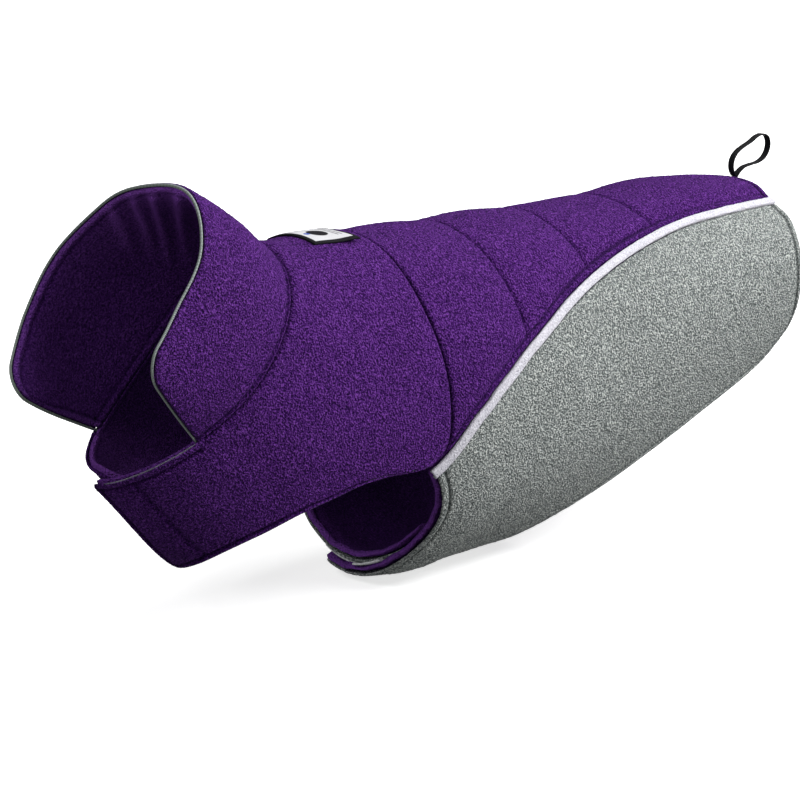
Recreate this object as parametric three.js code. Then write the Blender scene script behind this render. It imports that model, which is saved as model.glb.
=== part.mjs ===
// Dog winter coat in its worn, filled-out form with no wearer.
// Millimetres, +Z up. The head end is towards -Y and the wearer's left is +X.
// The origin is on the lining at the withers, in the middle of the back under the first seam.
import * as THREE from 'three';

// Cloth and seams
const clothThickness = 2.6;
const liningThickness = 1.55;
const layerGap = 0.75;
const seamGap = 0.3;
const pipingGap = 0.4;
const backSeamGap = 0.6;
const liningSetback = 1;
const wall = clothThickness + layerGap + liningThickness;
const tapeThickness = 1.0;
const labelThickness = 0.9;
// The right flap and band pass inside the left ones, under both fastening tapes.
const closureSlack = 1.0;
const overlapSink = wall + 2 * tapeThickness + 2 * seamGap + closureSlack;

// Quilting of the back panel
const firstSeam = 75;
const quiltPitch = 72.5;
const quiltRise = 2.9;
const quiltGroove = 0.4;
const quiltSpineShare = 0.35;

// Trims
const sidePipingWidth = 6;
const sidePipingRise = 0.9;
const collarPipingRadius = 1.2;
const collarCornerRadius = 18;
const collarBow = 3;
const loopWidth = 5;
const loopThickness = 1;

// Where the flaps and bands end, in degrees round the body from the spine
const leftFlapEnd = 181;
const rightFlapEnd = 210;
const rightFlapDrop = 6;
const leftBandEnd = 197;
const rightBandEnd = 229;

const purple = 0x4b2080;
const deepPurple = 0x34135c;
const grey = 0x8c9494;
const paleLilac = 0xddd8ea;
const reflectiveGrey = 0x7d8a80;
const labelWhite = 0xe9e9ee;
const elasticBlack = 0x121214;
const tapeBlack = 0x1b1b20;
const tapePale = 0xc9cbcf;

// Rings of the body, from the collar seam to the tail. u is the distance along the spine.
// topY and topZ are the spine point, botY and botZ the point opposite underneath.
// half is half the width, wideAt the share of the depth where it is widest,
// lean how far the sides lie behind the straight ring, roll its tilt in degrees.
const rings = [
  { u: 0, topY: -75, topZ: 10.5, botY: -196, botZ: -113.5, half: 63.5, wideAt: 0.58, lean: 25, roll: 7 },
  { u: 38, topY: -38, topZ: 8, botY: -130, botZ: -179, half: 75.5, wideAt: 0.54, lean: 23, roll: 2.5 },
  { u: 75, topY: 0, topZ: 5, botY: -22, botZ: -204, half: 83.5, wideAt: 0.52, lean: 19, roll: 0 },
  { u: 147.5, topY: 72.5, topZ: 6.4, botY: 60, botZ: -209, half: 84, wideAt: 0.49, lean: 13, roll: 0 },
  { u: 220, topY: 145, topZ: 6.5, botY: 139, botZ: -205, half: 80.6, wideAt: 0.46, lean: 9, roll: 0 },
  { u: 292.5, topY: 217.5, topZ: 7, botY: 217, botZ: -190, half: 79, wideAt: 0.41, lean: 12, roll: 0 },
  { u: 365, topY: 290, topZ: 6.8, botY: 286, botZ: -164, half: 74.4, wideAt: 0.37, lean: 11, roll: 0 },
  { u: 430, topY: 355, topZ: 0.5, botY: 364, botZ: -126, half: 66, wideAt: 0.33, lean: 6, roll: 0 },
];

// Line of the side piping: degrees down from the spine at each distance along it.
const pipingLine = [
  { u: 70, deg: 107 },
  { u: 74.4, deg: 101.9 },
  { u: 84, deg: 91.8 },
  { u: 104, deg: 82.2 },
  { u: 130, deg: 75.9 },
  { u: 161, deg: 67.6 },
  { u: 194, deg: 58.9 },
  { u: 230, deg: 51.4 },
  { u: 270, deg: 45.2 },
  { u: 312, deg: 41.2 },
  { u: 360, deg: 41 },
  { u: 413.6, deg: 40.6 },
];
const pipingFront = 71.4;
const pipingRear = 413.6;

// Rear hem, from the spine round to the rounded rear corner of the side panel.
const rearHem = [
  { deg: 0, u: 427 },
  { deg: 20, u: 423.5 },
  { deg: 39.2, u: 414.6 },
  { deg: 57.4, u: 415 },
  { deg: 72.8, u: 411.2 },
  { deg: 87.6, u: 408.6 },
  { deg: 100.9, u: 409 },
  { deg: 111, u: 409 },
  { deg: 119, u: 405.3 },
];

// Front edge of the belly band, from the leg opening's top corner to under the belly.
const bandFront = [
  { deg: 100, u: 69 },
  { deg: 105, u: 73 },
  { deg: 112.4, u: 78.4 },
  { deg: 121.5, u: 82.6 },
  { deg: 130.5, u: 83.6 },
  { deg: 148, u: 83 },
  { deg: 162, u: 84 },
  { deg: 230, u: 84 },
];

// Side panel: the point on the piping and the point on the lower edge that each line across joins.
// A lowDeg of 0 stands for the end of the band.
const sideLines = [
  { along: 0, topU: 72, lowU: 84, lowDeg: 0 },
  { along: 0.05, topU: 78, lowU: 109, lowDeg: 0 },
  { along: 0.1, topU: 87, lowU: 134, lowDeg: 0 },
  { along: 0.15, topU: 101, lowU: 160, lowDeg: 0 },
  { along: 0.2, topU: 118, lowU: 185, lowDeg: 0 },
  { along: 0.24, topU: 131, lowU: 186, lowDeg: 183 },
  { along: 0.28, topU: 145, lowU: 188.5, lowDeg: 171 },
  { along: 0.32, topU: 159, lowU: 194, lowDeg: 161.5 },
  { along: 0.36, topU: 173, lowU: 204, lowDeg: 154 },
  { along: 0.42, topU: 194, lowU: 221, lowDeg: 147 },
  { along: 0.5, topU: 222, lowU: 245, lowDeg: 141 },
  { along: 0.6, topU: 259, lowU: 279, lowDeg: 133.5 },
  { along: 0.7, topU: 297, lowU: 317, lowDeg: 130 },
  { along: 0.8, topU: 337, lowU: 353, lowDeg: 129.3 },
  { along: 0.9, topU: 376, lowU: 385, lowDeg: 127.2 },
  { along: 1, topU: 413.6, lowU: 405.3, lowDeg: 119 },
];

// Front piece: each line across it runs from the collar seam to the first seam or the leg opening.
const frontLines = [
  { neckDeg: 0, lowU: 74.7, lowDeg: 0 },
  { neckDeg: 60, lowU: 74.7, lowDeg: 59 },
  { neckDeg: 74, lowU: 74.7, lowDeg: 72.5 },
  { neckDeg: 82, lowU: 74.5, lowDeg: 80.3 },
  { neckDeg: 90, lowU: 73.2, lowDeg: 88.5 },
  { neckDeg: 96, lowU: 71, lowDeg: 95.5 },
  { neckDeg: 100, lowU: 68.4, lowDeg: 100.4 },
  { neckDeg: 103, lowU: 64, lowDeg: 102.8 },
  { neckDeg: 107, lowU: 57.8, lowDeg: 104.2 },
  { neckDeg: 112, lowU: 51, lowDeg: 108.5 },
  { neckDeg: 118, lowU: 44.6, lowDeg: 115.3 },
  { neckDeg: 126, lowU: 39.4, lowDeg: 123.2 },
  { neckDeg: 138, lowU: 35.1, lowDeg: 136.6 },
  { neckDeg: 152, lowU: 33.2, lowDeg: 150.6 },
  { neckDeg: 166, lowU: 33.9, lowDeg: 165.5 },
  { neckDeg: 181, lowU: 35.8, lowDeg: 181 },
  { neckDeg: 210, lowU: 36, lowDeg: 210 },
];

// Collar: from each point of the collar seam, the rise to the collar's top edge.
const collarRises = [
  { deg: -124.5, x: -1.4, y: -61.5, z: 33.9 },
  { deg: -93.4, x: -15, y: -65, z: 39.5 },
  { deg: -62, x: -21, y: -71, z: 43 },
  { deg: -31, x: -13, y: -73, z: 45 },
  { deg: 0, x: -2, y: -75, z: 46 },
  { deg: 31.5, x: 2.7, y: -67.6, z: 51.6 },
  { deg: 63, x: 3.5, y: -63, z: 49.5 },
  { deg: 94.5, x: 5, y: -57.5, z: 54.2 },
  { deg: 126, x: 18.3, y: -48.6, z: 53.2 },
];

// Tail loop of elastic tape, seen from the side.
const loopLine = [
  { y: 352.6, z: 1.6 },
  { y: 350.4, z: 5.2 },
  { y: 349.8, z: 9.6 },
  { y: 351.6, z: 14.4 },
  { y: 355.8, z: 18.2 },
  { y: 361.6, z: 20.8 },
  { y: 368.6, z: 23.2 },
  { y: 375.4, z: 26.4 },
  { y: 381, z: 27.2 },
  { y: 385.6, z: 25.2 },
  { y: 387.4, z: 20.6 },
  { y: 386.3, z: 15.4 },
  { y: 382.6, z: 11 },
  { y: 376.6, z: 8.4 },
  { y: 369, z: 7.6 },
  { y: 361.6, z: 6.4 },
  { y: 356.4, z: 3.4 },
  { y: 352.8, z: -0.6 },
];

// Lines across the panels. The tapes and the label use some of the same lines.
const frontRows = [0, 0.08, 0.25, 0.44, 0.66, 0.88, 1];
const frontLeftColumns = [0, 8.5, 17, 28, 40, 52, 64, 75, 85, 92, 97, 101, 104.5, 109, 114.5, 121, 130, 140, 149.5];
const leftFlapColumns = [159, 169, 179, leftFlapEnd];
const rightFlapColumns = [162, 173, 184, 195, 206, rightFlapEnd];
const labelColumns = { from: -17, to: 17 };
const labelRows = { from: 0.44, to: 0.88 };
const flapTapeRows = { from: 0.08, to: 0.88 };
const hookColumns = { from: 159, to: 179 };
const loopColumns = { from: 184, to: 206 };
const bandTapeAlong = { from: 0.05, to: 0.2 };
const quiltSteps = [0.05, 0.2, 0.5, 0.8, 0.95];
const backShares = [0, 0.16, 0.34, 0.52, 0.7, 0.86, 1];
const sideRows = [0, 0.09, 0.18, 0.27, 0.36, 0.46, 0.56, 0.67, 0.78, 0.88, 1];
const collarRows = [0, 0.12, 0.36, 0.62, 0.84, 1];
const collarMiddle = [-108, -96, -84, -72, -60, -48, -36, -24, -12, 0, 12, 24, 36, 48, 60, 72, 84, 96, 108];
const collarLeftEnd = [113, 118.5, 122.3, 124.9, 126];
const collarRightEnd = [-124.5, -123.4, -120.8, -117, -112];

const model = new THREE.Group();

// Smooth curve through a table, read at one value of its key column.
function readTable(rows, key, value) {
  const last = rows.length - 1;
  let i = 0;
  while (i < last - 1 && value > rows[i + 1][key]) i += 1;
  const span = rows[i + 1][key] - rows[i][key];
  const t = (value - rows[i][key]) / span;
  const out = {};
  for (const column of Object.keys(rows[0])) {
    const slope = (k) => (rows[k + 1][column] - rows[k][column]) / (rows[k + 1][key] - rows[k][key]);
    const tangent = (k) => {
      if (k === 0) return slope(0);
      if (k === last) return slope(last - 1);
      const before = rows[k][key] - rows[k - 1][key];
      const after = rows[k + 1][key] - rows[k][key];
      return (slope(k - 1) * after + slope(k) * before) / (before + after);
    };
    const a = rows[i][column] * (1 + 2 * t) * (1 - t) ** 2 + rows[i + 1][column] * t * t * (3 - 2 * t);
    out[column] = a + span * (tangent(i) * t * (1 - t) ** 2 + tangent(i + 1) * t * t * (t - 1));
  }
  return out;
}

function ramp(from, to, value) {
  const t = THREE.MathUtils.clamp((value - from) / (to - from), 0, 1);
  return t * t * (3 - 2 * t);
}

// Point of the body's outer surface: deg is 0 on the spine and positive on the wearer's left.
function bodyPoint(u, deg) {
  const ring = readTable(rings, 'u', u);
  const angle = THREE.MathUtils.degToRad(deg);
  const cos = Math.cos(angle);
  const sin = Math.sin(angle);
  const share = cos >= 0 ? ring.wideAt * (1 - cos) : ring.wideAt - (1 - ring.wideAt) * cos;
  const x = ring.half * sin;
  const tilt = Math.sin(THREE.MathUtils.degToRad(ring.roll));
  return new THREE.Vector3(
    x * Math.cos(THREE.MathUtils.degToRad(ring.roll)),
    ring.topY + (ring.botY - ring.topY) * share + ring.lean * sin * sin,
    ring.topZ + (ring.botZ - ring.topZ) * share + x * tilt,
  );
}

function bodyNormal(u, deg) {
  const step = 0.5;
  const along = bodyPoint(u + step, deg).sub(bodyPoint(u - step, deg));
  const round = bodyPoint(u, deg + step).sub(bodyPoint(u, deg - step));
  return round.cross(along).normalize();
}

function onBody(u, deg, out) {
  return bodyPoint(u, deg).addScaledVector(bodyNormal(u, deg), out);
}

// Step of a given length across a line on the body, square to its direction.
function stepAside(u, deg, du, ddeg, distance) {
  const small = 0.25;
  const alongU = bodyPoint(u + small, deg).sub(bodyPoint(u - small, deg)).divideScalar(2 * small);
  const alongDeg = bodyPoint(u, deg + small).sub(bodyPoint(u, deg - small)).divideScalar(2 * small);
  const line = alongU.clone().multiplyScalar(du).addScaledVector(alongDeg, ddeg).normalize();
  const aside = line.cross(bodyNormal(u, deg)).normalize().multiplyScalar(distance);
  const uu = alongU.dot(alongU);
  const ud = alongU.dot(alongDeg);
  const dd = alongDeg.dot(alongDeg);
  const det = uu * dd - ud * ud;
  const au = alongU.dot(aside);
  const ad = alongDeg.dot(aside);
  return { u: u + (au * dd - ad * ud) / det, deg: deg + (ad * uu - au * ud) / det };
}

// Edge that runs beside the left piping, at a distance below it (positive) or above it.
function besidePiping(u, distance) {
  const step = 0.5;
  const at = readTable(pipingLine, 'u', u);
  const slope = readTable(pipingLine, 'u', u + step).deg - readTable(pipingLine, 'u', u - step).deg;
  return stepAside(u, at.deg, 2 * step, slope, distance);
}

// Degrees of that edge where it crosses a given distance along the spine.
function edgeDeg(u, distance) {
  let source = u;
  for (let pass = 0; pass < 8; pass += 1) source += u - besidePiping(source, distance).u;
  return besidePiping(source, distance).deg;
}

// Closed sheet between an outer and an inner grid of points, pushed out as one body.
function addSheet(name, colour, roughness, outer, inner) {
  const rows = outer.length;
  const columns = outer[0].length;
  const points = [...outer.flat(), ...inner.flat()];
  const at = (side, r, c) => side * rows * columns + r * columns + c;
  const faces = [];
  const quad = (a, b, c, d) => faces.push([a, b, c], [a, c, d]);
  for (let r = 0; r < rows - 1; r += 1) {
    for (let c = 0; c < columns - 1; c += 1) {
      quad(at(0, r, c), at(0, r, c + 1), at(0, r + 1, c + 1), at(0, r + 1, c));
      quad(at(1, r, c), at(1, r + 1, c), at(1, r + 1, c + 1), at(1, r, c + 1));
    }
  }
  const rim = [];
  for (let c = 0; c < columns; c += 1) rim.push([0, c]);
  for (let r = 1; r < rows; r += 1) rim.push([r, columns - 1]);
  for (let c = columns - 2; c >= 0; c -= 1) rim.push([rows - 1, c]);
  for (let r = rows - 2; r > 0; r -= 1) rim.push([r, 0]);
  rim.forEach(([r, c], k) => {
    const [nextR, nextC] = rim[(k + 1) % rim.length];
    quad(at(0, r, c), at(1, r, c), at(1, nextR, nextC), at(0, nextR, nextC));
  });
  addBody(name, colour, roughness, points, faces);
}

// Closed bar of a given section swept along frames, each with its own origin and two directions.
function addBar(name, colour, roughness, frames, section) {
  const sides = section.length;
  const points = frames.flatMap((frame) => section.map(([a, b]) => frame.origin.clone()
    .addScaledVector(frame.across, a)
    .addScaledVector(frame.out, b)));
  const faces = [];
  for (let k = 0; k < frames.length - 1; k += 1) {
    for (let s = 0; s < sides; s += 1) {
      const here = k * sides + s;
      const beside = k * sides + ((s + 1) % sides);
      faces.push([here, beside, beside + sides], [here, beside + sides, here + sides]);
    }
  }
  const end = (frames.length - 1) * sides;
  for (let s = 1; s < sides - 1; s += 1) {
    faces.push([0, s + 1, s], [end, end + s, end + s + 1]);
  }
  addBody(name, colour, roughness, points, faces);
}

function addBody(name, colour, roughness, points, faces) {
  let volume = 0;
  for (const [a, b, c] of faces) volume += points[a].dot(points[b].clone().cross(points[c]));
  const ordered = volume < 0 ? faces.map(([a, b, c]) => [a, c, b]) : faces;
  const geometry = new THREE.BufferGeometry();
  const positions = new Float32Array(points.flatMap((point) => [point.x, point.y, point.z]));
  geometry.setAttribute('position', new THREE.BufferAttribute(positions, 3));
  geometry.setIndex(ordered.flat());
  geometry.computeVertexNormals();
  const mesh = new THREE.Mesh(geometry, new THREE.MeshStandardMaterial({ color: colour, roughness, metalness: 0 }));
  mesh.name = name;
  model.add(mesh);
}

// Sheet that lies on the body: a grid of body places between two heights above the surface.
function addPanel(name, colour, grid, top, bottom, roughness = 0.95) {
  const layer = (height) => grid.map((row) => row.map((place) => {
    const raised = typeof height === 'function' ? height(place) : height;
    return onBody(place.u, place.deg, raised - (place.sink ?? 0));
  }));
  addSheet(name, colour, roughness, layer(top), layer(bottom));
}

function mirrored(grid, sink) {
  return grid.map((row) => row.map(({ u, deg }) => ({ u, deg: -deg, sink: sink(deg) })));
}

const flapSink = (deg) => overlapSink * ramp(126, 171, deg);
const bandSink = (deg) => overlapSink * ramp(116, 157, deg);

// Grid of the front piece for a list of columns; the collar seam keeps its gap.
function frontGrid(columns, rows) {
  return rows.map((share) => columns.map((neckDeg) => {
    const line = readTable(frontLines, 'neckDeg', Math.abs(neckDeg));
    const side = Math.sign(neckDeg);
    const neckU = seamGap + (side < 0 ? rightFlapDrop * ramp(168, 205, -neckDeg) : 0);
    return {
      u: neckU + (line.lowU - neckU) * share,
      deg: side * (Math.abs(neckDeg) + (line.lowDeg - Math.abs(neckDeg)) * share),
      sink: side < 0 ? flapSink(Math.abs(neckDeg)) : 0,
    };
  }));
}

function addFrontPiece() {
  const right = [...frontLeftColumns.slice(1), ...rightFlapColumns].map((deg) => -deg).reverse();
  const columns = [...right, ...frontLeftColumns, ...leftFlapColumns];
  const grid = frontGrid(columns, frontRows);
  addPanel('front_piece', purple, grid, 0, -clothThickness);
  addPanel('lining_front', deepPurple, grid, -clothThickness - layerGap, -wall);

  const pick = (list, range) => list.filter((value) => value >= range.from && value <= range.to);
  const labelGrid = frontGrid(pick(columns, labelColumns), pick(frontRows, labelRows));
  addPanel('label', labelWhite, labelGrid, seamGap + labelThickness, seamGap, 0.7);

  const tapeRows = pick(frontRows, flapTapeRows);
  const hookGrid = frontGrid(pick(columns, hookColumns), tapeRows);
  addPanel('chest_tape_hook', tapeBlack, hookGrid, -wall - seamGap, -wall - seamGap - tapeThickness, 0.8);
  const loopRange = { from: -loopColumns.to, to: -loopColumns.from };
  const loopGrid = frontGrid(pick(columns, loopRange), tapeRows);
  addPanel('chest_tape_loop', tapeBlack, loopGrid, seamGap + tapeThickness, seamGap, 0.9);
}

// First seam, which curves forward towards the leg openings.
function firstSeamAt(deg) {
  return firstSeam - 3.6 * ramp(80, 101, Math.abs(deg));
}

// The quilts lie flatter along the spine than on the flanks.
function quilting({ u, deg }) {
  const phase = Math.abs(Math.sin((Math.PI * (u - firstSeam)) / quiltPitch));
  const share = quiltSpineShare + (1 - quiltSpineShare) * ramp(8, 42, Math.abs(deg));
  return quiltRise * share * phase ** 0.6 - quiltGroove;
}

// Grid of the back panel between the two pipings; edge is the distance kept from the piping's line.
function backGrid(uRows, edge) {
  const columns = [...backShares.slice(1).map((share) => -share).reverse(), ...backShares];
  return uRows.map((u) => {
    const early = 1 - ramp(firstSeam, firstSeam + quiltPitch / 5, u);
    const late = ramp(340, pipingRear, u);
    const shift = (deg) => (firstSeamAt(deg) + backSeamGap - firstSeam) * early;
    const nearEdge = edgeDeg(u + shift(0), -edge);
    const widest = edgeDeg(u + shift(nearEdge), -edge);
    return columns.map((share) => {
      const deg = share * widest;
      const hem = readTable(rearHem, 'deg', Math.abs(deg)).u;
      return { u: u + shift(deg) + (hem - pipingRear) * late, deg };
    });
  });
}

// Distances along the spine of the lines across the back, with the same steps in each quilt.
function backRows() {
  const rows = [];
  for (let seam = firstSeam; seam < pipingRear; seam += quiltPitch) {
    rows.push(seam);
    rows.push(...quiltSteps.map((step) => seam + step * quiltPitch).filter((u) => u < pipingRear - quiltPitch / 20));
  }
  return [...rows, pipingRear];
}

function addBackPiece() {
  const outer = backGrid(backRows(), sidePipingWidth / 2 + pipingGap);
  addPanel('back_piece', purple, outer, quilting, -clothThickness);
  const inner = backGrid(backRows(), liningSetback);
  addPanel('lining_back', deepPurple, inner, -clothThickness - layerGap, -wall);
}

// Grid of the left side panel with its belly band; keep is the distance from the piping's line.
function sideGrid(bandEnd, keep, alongs, downs) {
  const ends = (along) => {
    const line = readTable(sideLines, 'along', along);
    const lowest = sideLines.findLast((row) => row.along <= along);
    const next = sideLines.find((row) => row.along > along) ?? lowest;
    const inBand = lowest.lowDeg === 0 && (next.lowDeg === 0 || lowest.along === along);
    const top = besidePiping(line.topU, keep);
    return { top, low: { u: line.lowU, deg: inBand ? bandEnd : line.lowDeg } };
  };
  const first = ends(0);
  const final = ends(1);
  const bulge = (edge, from, to, down) => {
    const deg = from.deg + (to.deg - from.deg) * down;
    const start = readTable(edge, 'deg', from.deg).u - from.u;
    const stop = readTable(edge, 'deg', to.deg).u - to.u;
    const straight = from.u + (to.u - from.u) * down;
    return readTable(edge, 'deg', deg).u - straight - start * (1 - down) - stop * down;
  };
  return downs.map((down) => alongs.map((along) => {
    const { top, low } = ends(along);
    const front = bulge(bandFront, first.top, first.low, down) * (1 - along) ** 3;
    const rear = bulge(rearHem, final.top, final.low, down) * along ** 3;
    return {
      u: top.u + (low.u - top.u) * down + front + rear,
      deg: top.deg + (low.deg - top.deg) * down,
    };
  }));
}

function addSidePieces() {
  const keep = sidePipingWidth / 2 + pipingGap;
  const alongs = sideLines.flatMap((row, k) => {
    const next = sideLines[k + 1];
    const wide = next && (next.along - row.along > 0.07 || row.along < 0.15);
    return wide ? [row.along, (row.along + next.along) / 2] : [row.along];
  });
  const liningTop = -clothThickness - layerGap;
  const bandAlongs = alongs.filter((along) => along >= bandTapeAlong.from && along <= bandTapeAlong.to);

  const left = sideGrid(leftBandEnd, keep, alongs, sideRows);
  addPanel('side_left', grey, left, 0, -clothThickness);
  addPanel('lining_left', deepPurple, sideGrid(leftBandEnd, liningSetback, alongs, sideRows), liningTop, -wall);
  const hook = sideGrid(leftBandEnd, liningSetback, bandAlongs, sideRows.slice(-4, -1));
  addPanel('belly_tape_hook', tapeBlack, hook, -wall - seamGap, -wall - seamGap - tapeThickness, 0.8);

  const right = mirrored(sideGrid(rightBandEnd, keep, alongs, sideRows), bandSink);
  addPanel('side_right', grey, right, 0, -clothThickness);
  const rightLining = mirrored(sideGrid(rightBandEnd, liningSetback, alongs, sideRows), bandSink);
  addPanel('lining_right', deepPurple, rightLining, liningTop, -wall);
  const loop = mirrored(sideGrid(rightBandEnd, keep, bandAlongs, sideRows.slice(-5, -2)), bandSink);
  addPanel('belly_tape_loop', tapePale, loop, seamGap + tapeThickness, seamGap, 0.9);
}

// Raised piping between the purple back and the grey side, one on each side.
function addSidePiping(name, side) {
  const half = sidePipingWidth / 2;
  const section = [
    [-half, -clothThickness], [-half, 0.1], [-half * 0.55, sidePipingRise],
    [half * 0.55, sidePipingRise], [half, 0.1], [half, -clothThickness],
  ];
  const frames = [];
  const steps = 36;
  for (let k = 0; k <= steps; k += 1) {
    const share = (k / steps) ** 1.25;
    const u = pipingFront + (pipingRear - pipingFront) * share;
    const { deg } = readTable(pipingLine, 'u', u);
    const centre = bodyPoint(u, side * deg);
    const ahead = bodyPoint(u + 0.5, side * readTable(pipingLine, 'u', u + 0.5).deg);
    const out = bodyNormal(u, side * deg);
    const across = out.clone().cross(ahead.sub(centre)).normalize();
    frames.push({ origin: centre, across, out });
  }
  addBar(name, paleLilac, 0.9, frames, section);
}

// Point of the collar's outer surface: share is 0 at the collar seam and 1 at the top edge.
function collarPoint(deg, share) {
  const base = bodyPoint(0, deg);
  const rise = readTable(collarRises, 'deg', deg);
  const lift = new THREE.Vector3(rise.x, rise.y, rise.z);
  const centre = new THREE.Vector3(0, -140, -45);
  const outward = base.clone().sub(centre);
  outward.addScaledVector(lift, -outward.dot(lift) / lift.lengthSq()).normalize();
  return base.addScaledVector(lift, share).addScaledVector(outward, collarBow * Math.sin(Math.PI * share));
}

function collarNormal(deg, share) {
  const step = 0.02;
  const up = collarPoint(deg, share + step).sub(collarPoint(deg, share - step));
  const round = collarPoint(deg + 1, share).sub(collarPoint(deg - 1, share));
  const own = up.cross(round).normalize();
  return bodyNormal(0, deg).lerp(own, ramp(0, 0.3, share)).normalize();
}

// Height share of the collar at each column, which rounds its front corners.
function collarHeight(deg) {
  const rise = readTable(collarRises, 'deg', deg);
  const height = Math.hypot(rise.x, rise.y, rise.z);
  const end = deg > 0 ? 126 : -124.5;
  const inside = bodyPoint(0, deg).distanceTo(bodyPoint(0, end));
  const short = Math.max(0, collarCornerRadius - inside);
  return 1 - (collarCornerRadius - Math.sqrt(collarCornerRadius ** 2 - short ** 2)) / height;
}

function addCollar() {
  const columns = [...collarRightEnd, ...collarMiddle, ...collarLeftEnd];
  const seamShare = 0.006;
  const layer = (out) => collarRows.map((row) => columns.map((deg) => {
    const share = seamShare + (collarHeight(deg) - seamShare) * row;
    return collarPoint(deg, share).addScaledVector(collarNormal(deg, share), out);
  }));
  addSheet('collar', purple, 0.95, layer(0), layer(-clothThickness));
  addSheet('lining_collar', deepPurple, 0.95, layer(-clothThickness - layerGap), layer(-wall));
  addCollarPiping(columns);
}

// Reflective piping round the collar's front edges and top edge, between its two layers.
function addCollarPiping(columns) {
  const edge = [];
  const first = columns[0];
  const last = columns[columns.length - 1];
  const climb = [0.02, 0.25, 0.5, 0.75];
  climb.forEach((row) => edge.push([first, row * collarHeight(first)]));
  columns.forEach((deg) => edge.push([deg, collarHeight(deg)]));
  climb.slice().reverse().forEach((row) => edge.push([last, row * collarHeight(last)]));
  const places = edge.map(([deg, share]) => collarPoint(deg, share));
  const middle = -(clothThickness + layerGap / 2);
  const frames = places.map((place, k) => {
    const before = places[Math.max(k - 1, 0)];
    const after = places[Math.min(k + 1, places.length - 1)];
    const out = collarNormal(...edge[k]);
    const across = after.clone().sub(before).cross(out).normalize();
    const inner = collarPoint(edge[k][0] * 0.9, edge[k][1] * 0.8);
    if (across.dot(place.clone().sub(inner)) < 0) across.negate();
    const origin = place.clone()
      .addScaledVector(across, collarPipingRadius + seamGap)
      .addScaledVector(out, middle);
    return { origin, across, out };
  });
  const sides = 6;
  const section = [];
  for (let s = 0; s < sides; s += 1) {
    const angle = (2 * Math.PI * s) / sides;
    section.push([collarPipingRadius * Math.cos(angle), collarPipingRadius * Math.sin(angle)]);
  }
  addBar('piping_collar', reflectiveGrey, 0.5, frames, section);
}

function addTailLoop() {
  const places = loopLine.map(({ y, z }) => new THREE.Vector3(0, y, z));
  const frames = places.map((origin, k) => {
    const before = places[Math.max(k - 1, 0)];
    const after = places[Math.min(k + 1, places.length - 1)];
    const across = new THREE.Vector3(1, 0, 0);
    const out = after.clone().sub(before).cross(across).normalize();
    return { origin, across, out };
  });
  const w = loopWidth / 2;
  const t = loopThickness / 2;
  addBar('tail_loop', elasticBlack, 0.8, frames, [[-w, -t], [w, -t], [w, t], [-w, t]]);
}

addFrontPiece();
addBackPiece();
addSidePieces();
addSidePiping('piping_left', 1);
addSidePiping('piping_right', -1);
addCollar();
addTailLoop();

export default model;
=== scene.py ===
import bpy
import bmesh
import math
import numpy as np
from mathutils import Matrix, Vector


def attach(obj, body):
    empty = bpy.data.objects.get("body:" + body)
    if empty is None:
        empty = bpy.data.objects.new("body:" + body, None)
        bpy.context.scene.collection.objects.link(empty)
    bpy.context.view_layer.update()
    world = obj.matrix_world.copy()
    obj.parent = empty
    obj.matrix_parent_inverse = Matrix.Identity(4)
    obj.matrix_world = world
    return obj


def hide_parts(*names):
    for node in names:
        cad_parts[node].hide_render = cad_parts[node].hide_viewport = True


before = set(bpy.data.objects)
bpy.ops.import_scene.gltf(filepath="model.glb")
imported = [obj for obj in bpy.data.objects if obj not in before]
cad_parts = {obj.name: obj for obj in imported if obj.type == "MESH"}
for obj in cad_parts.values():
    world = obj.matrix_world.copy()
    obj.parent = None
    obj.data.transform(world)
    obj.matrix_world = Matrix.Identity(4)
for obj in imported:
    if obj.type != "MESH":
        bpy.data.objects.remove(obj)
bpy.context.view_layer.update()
mm = 0.001
print("coat: frame loaded")


# camera, light and floor
view = {
    "target": (0.0, 0.030, -0.089),
    "azimuth": 48.2,
    "elevation": 13.0,
    "roll": -0.8,
    "distance": 1.9,
    "lens": 137.47,
    "targetPixel": (384.8, 380.2),
    "imageSize": 800,
}


def addCamera(view):
    a, e = math.radians(view["azimuth"]), math.radians(view["elevation"])
    back = Vector((math.sin(a) * math.cos(e), -math.cos(a) * math.cos(e), math.sin(e)))
    right = Vector((math.cos(a), math.sin(a), 0))
    up = back.cross(right)
    turn = Matrix.Rotation(math.radians(view["roll"]), 3, back)
    right, up = turn @ right, turn @ up
    # the target sits a little off the middle of the picture, so the camera looks past it
    pixel = 36 / view["lens"] / view["imageSize"]
    half = view["imageSize"] / 2
    aside = (half - view["targetPixel"][0]) * pixel
    above = (view["targetPixel"][1] - half) * pixel
    look = (-back + right * aside + up * above).normalized()
    side = look.cross(up).normalized()
    top = side.cross(look)
    data = bpy.data.cameras.new("photoCamera")
    data.lens, data.sensor_width = view["lens"], 36
    data.clip_start, data.clip_end = 0.1, 60
    camera = bpy.data.objects.new("photoCamera", data)
    place = Matrix((side, top, -look)).transposed().to_4x4()
    place.translation = Vector(view["target"]) + back * view["distance"]
    camera.matrix_world = place
    bpy.context.scene.collection.objects.link(camera)
    bpy.context.scene.camera = camera


def addSoftbox(name, toward, distance, size, power):
    data = bpy.data.lights.new(name, "AREA")
    data.shape, data.size, data.energy = "SQUARE", size, power
    lamp = bpy.data.objects.new(name, data)
    way = Vector(toward).normalized()
    lamp.location = Vector(studio["middle"]) + way * distance
    lamp.rotation_euler = way.to_track_quat("Z", "Y").to_euler()
    bpy.context.scene.collection.objects.link(lamp)


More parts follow.
